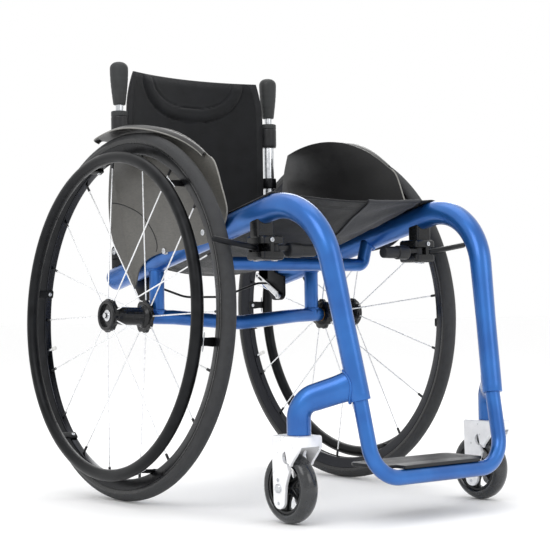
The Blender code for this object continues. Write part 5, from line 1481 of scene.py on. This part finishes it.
def post_and_handle(side, word):
    """A bright post with its black foot block and sleeve, and the tapered push handle over it."""
    x = side * POST_X
    at = Matrix.Translation((x, HINGE.y, 0))
    rod = turned("post", rounded([(0.0068, 0.500), (0.0068, 0.611), (0.0095, 0.612, 0.0008),
                                  (0.0095, 0.418, 0.001), (0.0001, 0.414), (0.0001, 0.499)], 0.0003), 48)
    foot = coloured(turned("block", rounded([(0.0096, 0.526), (0.0130, 0.526, 0.0012),
                                             (0.0135, 0.5355, 0.004), (0.0130, 0.545, 0.0012),
                                             (0.0096, 0.545)], 0.0004, 4), 48), 1)
    eye_r, half = 0.0105, 0.0098
    eye = slab("eye", [(HINGE.y + eye_r * math.cos(a), HINGE.z + eye_r * math.sin(a))
                       for a in round_turns(40)], x - half, x + half)
    pin_hole = tube("hole", [Vector((x + way * 0.02, HINGE.y, HINGE.z)) for way in (-1, 1)], 0.0043, 32)
    carved(eased(eye, 0.0008, 2), "DIFFERENCE", pin_hole)
    moved(rod, at)
    moved(foot, at)
    post = merged(rod, foot, coloured(eye, 1))
    dress(post, "backrest_post_dressed_" + word, "backrest", ["backrest_post_" + word],
          "stainless_steel", STEEL, BLACK_METAL)
    clamp = turned("clamp", rounded([(0.0099, 0.602), (0.0138, 0.602, 0.001), (0.0145, 0.606, 0.001),
                                     (0.0145, 0.634, 0.0008), (0.0139, 0.6355, 0.0006),
                                     (0.0145, 0.637, 0.0008), (0.0143, 0.645, 0.0016),
                                     (0.0069, 0.645, 0.0005), (0.0069, 0.6124), (0.0099, 0.6123)],
                                    0.0003, 4), 64)
    for face in clamp.data.polygons:
        face.material_index = 1 if face.center.z > 0.6365 else 0
    moved(clamp, at)
    dress(clamp, "handle_clamp_dressed_" + word, "backrest", ["handle_clamp_" + word],
          "black_plastic", NYLON, RUBBER)
    stem_r, stem_low = 0.0065, 0.500
    shape = [(0, stem_low), (0.0062, stem_low), (stem_r, 0.5006), (stem_r, 0.6555)]
    grip = [(0.0065, 0.6560), (0.0095, 0.6561), (0.0103, 0.6566), (0.0106, 0.6580)]
    for i in range(1, 25):
        t = i / 24
        ridge = 0.00022 if i % 4 == 2 and 3 < i < 22 else 0.0
        grip.append((0.0106 + 0.0051 * math.sin(t * math.pi / 2) - ridge, 0.658 + 0.0605 * t))
    for i in range(1, 10):
        a = math.pi / 2 * i / 9
        grip.append((0.0157 - 0.0125 * (1 - math.cos(a)), 0.7185 + 0.0113 * math.sin(a)))
    grip.append((0, 0.7300))
    handle = turned("handle", shape + grip, 64)
    for face in handle.data.polygons:
        face.material_index = 0 if face.center.z > 0.656 else 1
    moved(handle, at)
    dress(handle, "push_handle_dressed_" + word, "handle_" + word, ["push_handle_" + word],
          "grip_rubber", RUBBER, STEEL)


def bracket(side, word):
    """The saddle on the rail, its two hinge cheeks, and the plate that carries the latch."""
    inner, outer = POST_X - 0.0101, POST_X + 0.0101
    plate, low_x = 0.0035, 0.1395
    saddle = block("saddle", (side * low_x, side * (outer + plate)),
                   (HINGE.y - 0.020, HINGE.y + 0.0095), (0.358, 0.3939), 0.0012, 3)
    pipe = tube("pipe", [rail_at(0.05, side), rail_at(0.16, side)], RAIL_R + FIT, 48)
    carved(saddle, "DIFFERENCE", pipe)
    ear = arc((HINGE.y, HINGE.z), 0.0095, 0, 180, 28)
    ear += [(HINGE.y - 0.0095, 0.3905), (HINGE.y + 0.0093, 0.3905)]
    parts = []
    for low in (inner - plate, outer):
        parts.append(eased(slab("ear", ear, *sorted((side * low, side * (low + plate)))), 0.0006, 2))
    pin = tube("pin", [Vector((side * (inner - 0.0030), HINGE.y, HINGE.z)),
                       Vector((side * (outer + 0.0030), HINGE.y, HINGE.z))], 0.0040, 32)
    parts.append(coloured(pin, 1))
    for end, way in ((inner - plate, -1), (outer + plate, 1)):
        head = screw_head(-0.0002, (0.0058, 0.0014, 0.0008), (0.0022, 0.0018), (0.0020, 0.0008), 30)
        pointed(head, Vector((side * end, HINGE.y, HINGE.z)), (side * way, 0, 0))
        parts.append(coloured(head, 1))
    pivot = (LATCH_PIVOT.y, LATCH_PIVOT.z)
    outline = [(0.062, 0.0649), (0.062, 0.042), (0.041, 0.019)]
    outline += arc((0.016, 0.004), 0.012, -20, -90, 8) + arc((-0.002, 0.004), 0.012, -90, -180, 8)
    outline += [(-0.014, 0.034), (0.014, 0.042), (0.024, 0.0649)]
    shape = [(pivot[0] + y, pivot[1] + z) for y, z in outline]
    wing = eased(slab("wing", shape, *sorted((side * low_x, side * (low_x + plate)))), 0.0008, 3)
    clear = tube("pipe", [rail_at(0.0, side), rail_at(0.16, side)], RAIL_R + FIT, 48)
    parts.append(carved(wing, "DIFFERENCE", clear))
    boss = tube("boss", [Vector((side * 0.1412, *pivot)), Vector((side * 0.1338, *pivot))], 0.0030, 28)
    parts.append(coloured(boss, 1))
    head = screw_head(0, (0.006, 0.0014, 0.0007), (0.0022, 0.0018), (0.0020, 0.0007), 30)
    parts.append(coloured(pointed(head, Vector((side * 0.1346, *pivot)), (-side, 0, 0)), 1))
    made = merged(saddle, *parts)
    dress(made, "backrest_bracket_dressed_" + word, "frame", ["backrest_bracket_" + word],
          "black_anodised", BLACK_METAL, STEEL)


def release_bail():
    """Two bright slotted latch arms with a thin dark bar between them that frees the backrest."""
    way = LATCH_TAIL - LATCH_PIVOT
    middle_x = LATCH_PIVOT.x
    ends_z = LATCH_PIVOT.z + way.z * (BAIL_Y - LATCH_PIVOT.y) / way.y
    half = [(middle_x, ends_z), (middle_x - 0.018, ends_z), (0.040, 0.3266)]
    points = [Vector((x, BAIL_Y, z)) for x, z in half + [(-x, z) for x, z in reversed(half)]]
    bar = tube("bail", spaced(round_path(points, [0.03, 0.08, 0.08, 0.03]), 0.01), 0.0020, 16, 0.0)
    tilt = math.degrees(math.atan2(way.z, way.y))
    outline = arc((LATCH_PIVOT.y, LATCH_PIVOT.z), 0.0058, tilt + 90, tilt + 270, 18)
    outline += arc((LATCH_TAIL.y, LATCH_TAIL.z), 0.0046, tilt - 90, tilt + 90, 16)
    slot = arc((LATCH_TAIL.y, LATCH_TAIL.z), 0.0021, tilt - 90, tilt + 90, 10)
    near = LATCH_TAIL - way * 0.22
    slot += arc((near.y, near.z), 0.0021, tilt + 90, tilt + 270, 10)
    parts = []
    for side in (1, -1):
        low, high = sorted((side * (middle_x - 0.002), side * (middle_x + 0.002)))
        arm = eased(slab("arm", outline, low, high), 0.0006, 2)
        hole = tube("hole", [Vector((low - 0.01, LATCH_PIVOT.y, LATCH_PIVOT.z)),
                             Vector((high + 0.01, LATCH_PIVOT.y, LATCH_PIVOT.z))], 0.0034, 28)
        carved(arm, "DIFFERENCE", hole, slab("slot", slot, low - 0.01, high + 0.01))
        parts.append(coloured(arm, 1))
    made = merged(bar, *parts)
    dress(made, "release_bail_dressed", "bail", ["release_bail"], "black_anodised", BLACK_METAL,
          POLISHED)


# Side guards

def crest_point(angle, radius=CREST_R):
    """A place beside the tyre, at an angle from straight above the axle."""
    return (radius * math.sin(angle), HUB_Z + radius * math.cos(angle))


def curved_through(points, steps=6):
    """An open line run smoothly through its points."""
    made = []
    for i in range(len(points) - 1):
        p0, p1 = points[max(i - 1, 0)], points[i]
        p2, p3 = points[i + 1], points[min(i + 2, len(points) - 1)]
        for k in range(steps):
            t = k / steps
            made.append(tuple(0.5 * (2 * b + (c - a) * t + (2 * a - 5 * b + 4 * c - d) * t * t
                                     + (3 * b - a - 3 * c + d) * t ** 3)
                              for a, b, c, d in zip(p0, p1, p2, p3)))
    made.append(tuple(points[-1]))
    return made


def side_guard(side, word):
    """A thin panel that follows the tyre and curls out over it, with a pressed line across it."""
    turn = CREST_REAR + CREST_FRONT
    crest = [crest_point(CREST_REAR - turn * i / 60) for i in range(61)]
    front = [(-0.199, 0.529), (-0.209, 0.512), (-0.218, 0.490), (-0.228, 0.466), (-0.232, 0.447),
             (-0.222, 0.428), (-0.192, 0.408), (-0.160, 0.402), (-0.107, 0.397), (-0.046, 0.394),
             (-0.008, 0.385), (0.015, 0.370), (0.026, 0.347), (0.036, 0.341), (0.069, 0.382),
             (0.087, 0.404), (0.104, 0.439), (0.110, 0.481), (0.108, 0.520), (0.102, 0.555)]
    line = curved_through([crest[-1]] + front + [crest[0]], 5)
    half = 0.00125
    panel = slab("panel", crest + line[1:-1], *sorted((side * (GUARD_X - half),
                                                       side * (GUARD_X + half))))
    eased(panel, 0.0007, 2, 50.0)
    # Faces turned in towards the chair take number 4, the near-black painted shade
    for face in panel.data.polygons:
        face.material_index = 4 if face.normal.x * side < -0.7 else 0
    curl = curved_through([(0.0, -0.016), (0.002, -0.008), (0.013, -0.0012), (0.026, 0.0006),
                           (0.038, 0.0002), (0.048, -0.0045)], 5)
    rows = []
    for i in range(73):
        t = i / 72
        angle = CREST_REAR - 0.004 - (turn - 0.008) * t
        ahead = max((t - 0.30) / 0.70, 0.0)
        width = 1 - 0.86 * ahead * ahead * (3 - 2 * ahead)
        tip = 1 - 0.35 * max(0.0, 1 - t / 0.06) ** 2
        row = []
        for x, r in curl:
            y, z = crest_point(angle, CREST_R + r)
            row.append(Vector((side * (GUARD_X + x * width * tip), y, z)))
        rows.append(row)
    flare = walled(skin("flare", rows, around=False), 0.0018)
    # The flare takes number 5, its darker colour a painted shade
    coloured(eased(flare, 0.0006, 2, 50.0), 5)
    # The flare's lip and the panel's front edge take number 1, a lighter colour that is a painted
    # highlight
    rim_line = [row[-1] for row in rows]
    edge = coloured(tube("edge", rim_line, 0.0012, 10, soft=0.0), 1)
    front_edge = [Vector((side * GUARD_X, y, z)) for y, z in line[3:33]]
    bright = coloured(tube("edge", front_edge, 0.0013, 10, soft=0.0), 1)
    seam = curved_through([(0.104, 0.486), (0.073, 0.482), (0.028, 0.469), (-0.001, 0.455),
                           (-0.029, 0.429), (-0.040, 0.408), (-0.037, 0.397)], 6)
    pressed = []
    for out in (-0.00115, 0.00115):
        path = [Vector((side * (GUARD_X + out), y, z)) for y, z in seam]
        pressed.append(coloured(tube("seam", path, 0.0009, 8, soft=0.0), 2))
    pegs, bolts = [], []
    for y in (-0.060, -0.170):
        rail = rail_at(y, side)
        start = Vector((side * (RAIL_R + FIT + rail.x * side - 0.001), rail.y, rail.z))
        peg = tube("peg", [start, Vector((side * GUARD_X, rail.y, rail.z))], 0.006, 28)
        pegs.append(coloured(peg, 3))
        head = screw_head(0, (0.0050, 0.0014, 0.0008), (0.0020, 0.0020), (0.0018, 0.0008))
        pointed(head, Vector((side * (GUARD_X + 0.0012), rail.y, rail.z)), (side, 0, 0))
        bolts.append(coloured(head, 3))
    made = merged(panel, flare, edge, bright, *pressed, *pegs, *bolts)
    dress(made, "side_guard_dressed_" + word, "frame", ["side_guard_" + word], "guard_grey",
          GUARD_SHELL, GUARD_EDGE_PAINTED_HIGHLIGHT, NYLON, STEEL, GUARD_INSIDE_PAINTED_SHADE, GUARD_FLARE_PAINTED_SHADE)


# Brakes

def pivot_eye(radius, spot):
    """The flat round end of a lever, with the hole for its pin."""
    hole, half = 0.0034, 0.0057
    eye = turned("eye", rounded([(hole, -half), (radius, -half, 0.0006), (radius, half, 0.0006),
                                 (hole, half)]), 40)
    return moved(eye, Matrix.Translation(spot))


def brake(side, word):
    """Clamp block under the rail, stepped knob on its lever, and the round bar that meets the tyre."""
    rail = rail_at(BRAKE_Y, side)
    lever_p = Vector((0.1455, -0.2945, 0.392))
    push_p = Vector((0.1675, -0.2790, 0.392))
    depth = (BRAKE_Y - 0.021, BRAKE_Y + 0.021)
    opening = (0.386, 0.398)
    body = block("block", (side * 0.133, side * 0.175), depth, (0.374, 0.410), 0.0050, 5)
    grip = RAIL_R - 0.004
    saddle = block("saddle", (rail.x - grip, rail.x + grip), (BRAKE_Y - 0.011, BRAKE_Y + 0.011),
                   (0.406, rail.z - 0.009), 0.003, 4)
    carved(body, "UNION", saddle)
    pipe = tube("pipe", [rail_at(BRAKE_Y + way, side) for way in (-0.05, 0.05)], RAIL_R + FIT, 48)
    lever_room, push_room = 0.0084, 0.0074
    slots = [box("slot", (side * 0.12, side * (lever_p.x + lever_room)),
                 (depth[0] - 0.02, lever_p.y + lever_room), opening),
             box("slot", (side * (push_p.x - push_room), side * 0.19),
                 (depth[0] - 0.02, push_p.y + push_room), opening)]
    carved(body, "DIFFERENCE", pipe, *slots)
    parts = []
    for p in (lever_p, push_p):
        spot = mirrored(p, side)
        pin = tube("pin", [spot + Vector((0, 0, z)) for z in (-0.009, 0.009)], 0.003, 24)
        parts.append(coloured(pin, 1))
        head = screw_head(0, (0.0048, 0.0012, 0.0007), (0.0022, 0.0016), (0.0020, 0.0004))
        parts.append(coloured(pointed(head, spot + Vector((0, 0, -0.0180)), (0, 0, -1)), 1))
    screw = screw_head(0, (0.0036, 0.0022, 0.0006), (0.0017, 0.0022), (0.0015, 0.0006))
    parts.append(coloured(pointed(screw, Vector((side * 0.158, depth[0], 0.4035)), (0, -1, 0)), 1))
    dress(merged(body, *parts), "brake_body_dressed_" + word, "frame", ["brake_body_" + word],
          "black_anodised", GLOSS_NYLON, STEEL)
    eye = pivot_eye(0.0072, mirrored(lever_p, side))
    half = 0.0045
    arm = block("arm", (side * 0.119, side * (lever_p.x - half)),
                (lever_p.y - half, lever_p.y + half), (lever_p.z - 0.0042, lever_p.z + 0.0036),
                0.0010, 3)
    knob = turned("knob", rounded([(0, 0), (0.0092, 0, 0.0020), (0.0095, 0.0270, 0.0008),
                                   (0.0090, 0.0285, 0.0006), (0.0110, 0.0290, 0.0014),
                                   (0.0110, 0.0510, 0.0022), (0, 0.0520)], 0.0004, 5), 56)
    pointed(knob, Vector((side * 0.070, lever_p.y, lever_p.z - 0.003)), (side, 0, 0))
    dress(merged(eye, arm, knob), "brake_lever_dressed_" + word, "lever_" + word,
          ["brake_lever_" + word], "black_plastic", NYLON)
    eye = pivot_eye(0.0062, mirrored(push_p, side))
    way = [push_p + Vector(q) for q in ((0.0045, -0.0042, 0.0), (0.0105, -0.0085, 0.0),
                                        (0.022, -0.0115, 0.0015), (0.0842, -0.0115, 0.0115))]
    bar = tube("bar", round_path([mirrored(q, side) for q in way], [0.012, 0.02]), 0.0045, 24)
    tip = turned("tip", [(0, -0.0006), (0.0044, -0.0006), (0.0045, 0.0), (0.0044, 0.0012),
                         (0.0036, 0.0026), (0.0018, 0.0034), (0, 0.0036)], 24)
    end = mirrored(way[-1], side)
    pointed(tip, end, end - mirrored(way[-2], side))
    dress(merged(eye, bar, tip), "brake_pusher_dressed_" + word, "pusher_" + word,
          ["brake_pusher_" + word], "black_anodised", BLACK_METAL)


# The chair

under_frame()
footrest()
seat_sling()
seat_flap()
upholstery()
release_bail()
for side, word in SIDES:
    side_tube(side, word)
    rail_end_cap(side, word)
    caster_arm(side, word)
    fork(side, word)
    caster_wheel(side, word)
    tyre(side, word)
    rim(side, word)
    handrim(side, word)
    hub(side, word)
    quick_release(side, word)
    bracket(side, word)
    post_and_handle(side, word)
    side_guard(side, word)
    brake(side, word)

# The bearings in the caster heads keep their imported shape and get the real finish.
for word in ("left", "right"):
    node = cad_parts["stem_bearing_" + word]
    node.data.materials.clear()
    node.data.materials.append(STEEL)


# Floor, light and camera

FLOOR_HALF = 60.0
FLOOR_Z = -0.0005
WHITE = (1.0, 1.0, 1.0, 1.0)
# The sky's strength on the object, and where the camera, metal or glass sees it
SKY_LIGHT, SKY_SEEN = 1.0, 1.0


def studio_paper():
    """Matt paper on the floor: nearly white, and it takes the object's shadow."""
    made, tree, shader = finish_of("white_studio_paper", "#FEFEFE", 0.85)
    fibres = grain(tree, 0.004, 3.0)
    rubbed(tree, shader, fibres, 0.80, 0.90)
    return made


floor_mesh = bpy.data.meshes.new("studio_floor")
floor_mesh.from_pydata([(x * FLOOR_HALF, y * FLOOR_HALF, FLOOR_Z)
                        for x, y in ((-1, -1), (1, -1), (1, 1), (-1, 1))], [], [(0, 1, 2, 3)])
floor_mesh.materials.append(studio_paper())
new_object("studio_floor", floor_mesh)

world = bpy.data.worlds.new("studio")
bpy.context.scene.world = world
world.use_nodes = True
sky = world.node_tree
sky.nodes.clear()
path_kind = add(sky, "ShaderNodeLightPath")
passed_on = add(sky, "ShaderNodeMath", {0: path_kind.outputs["Is Glossy Ray"],
                                        1: path_kind.outputs["Is Transmission Ray"]},
                operation="MAXIMUM")
seen = add(sky, "ShaderNodeMath", {0: path_kind.outputs["Is Camera Ray"], 1: passed_on.outputs[0]},
           operation="MAXIMUM")
lit = add(sky, "ShaderNodeBackground", {"Color": WHITE, "Strength": SKY_LIGHT})
shown = add(sky, "ShaderNodeBackground", {"Color": WHITE, "Strength": SKY_SEEN})
either = add(sky, "ShaderNodeMixShader", {0: seen.outputs[0], 1: lit.outputs[0],
                                          2: shown.outputs[0]})
add(sky, "ShaderNodeOutputWorld", {"Surface": either.outputs[0]})


def lamp(name, place, aim, size, power):
    """A soft box aimed at a point."""
    light = bpy.data.lights.new(name, "AREA")
    light.shape = "RECTANGLE"
    light.size, light.size_y = size
    light.energy = power
    stand = new_object(name, light)
    stand.location = place
    stand.rotation_euler = (Vector(aim) - Vector(place)).to_track_quat("-Z", "Y").to_euler()


lamp("key_softbox", (-2.2, -1.2, 2.4), (0, 0, 0.35), (1.6, 1.6), 24)
lamp("front_softbox", (0.6, -3.0, 1.6), (0, 0, 0.35), (1.4, 1.4), 10)
lamp("overhead_softbox", (0.2, 0.3, 3.0), (0, 0, 0.3), (2.2, 2.2), 16)
lamp("rim_softbox", (2.0, 2.0, 1.8), (0, 0, 0.4), (1.2, 1.2), 12)

# The camera, worked out from the near rear tyre's ellipse: angles in radians, lengths in pixels
# of the photo where they say so
YAW, PITCH, ROLL = 0.657, 0.0292, -0.0153
CAMERA_PLACE = (-1.4032, -1.8235, 0.2917)
FOCAL_PIXELS = 1393.4
PHOTO_PIXELS = 550
SENSOR_MM = 36.0
ahead = Vector((math.sin(YAW) * math.cos(PITCH), math.cos(YAW) * math.cos(PITCH), math.sin(PITCH)))
right = ahead.cross(Vector((0, 0, 1))).normalized()
up = right.cross(ahead)
level = Matrix((right * math.cos(ROLL) + up * math.sin(ROLL),
                up * math.cos(ROLL) - right * math.sin(ROLL), -ahead)).transposed().to_4x4()
lens = bpy.data.cameras.new("camera")
lens.sensor_width = SENSOR_MM
lens.lens = FOCAL_PIXELS / PHOTO_PIXELS * SENSOR_MM
camera = new_object("camera", lens)
camera.matrix_world = Matrix.Translation(CAMERA_PLACE) @ level
bpy.context.scene.camera = camera
bpy.context.scene.view_settings.view_transform = "Standard"

bpy.context.view_layer.update()
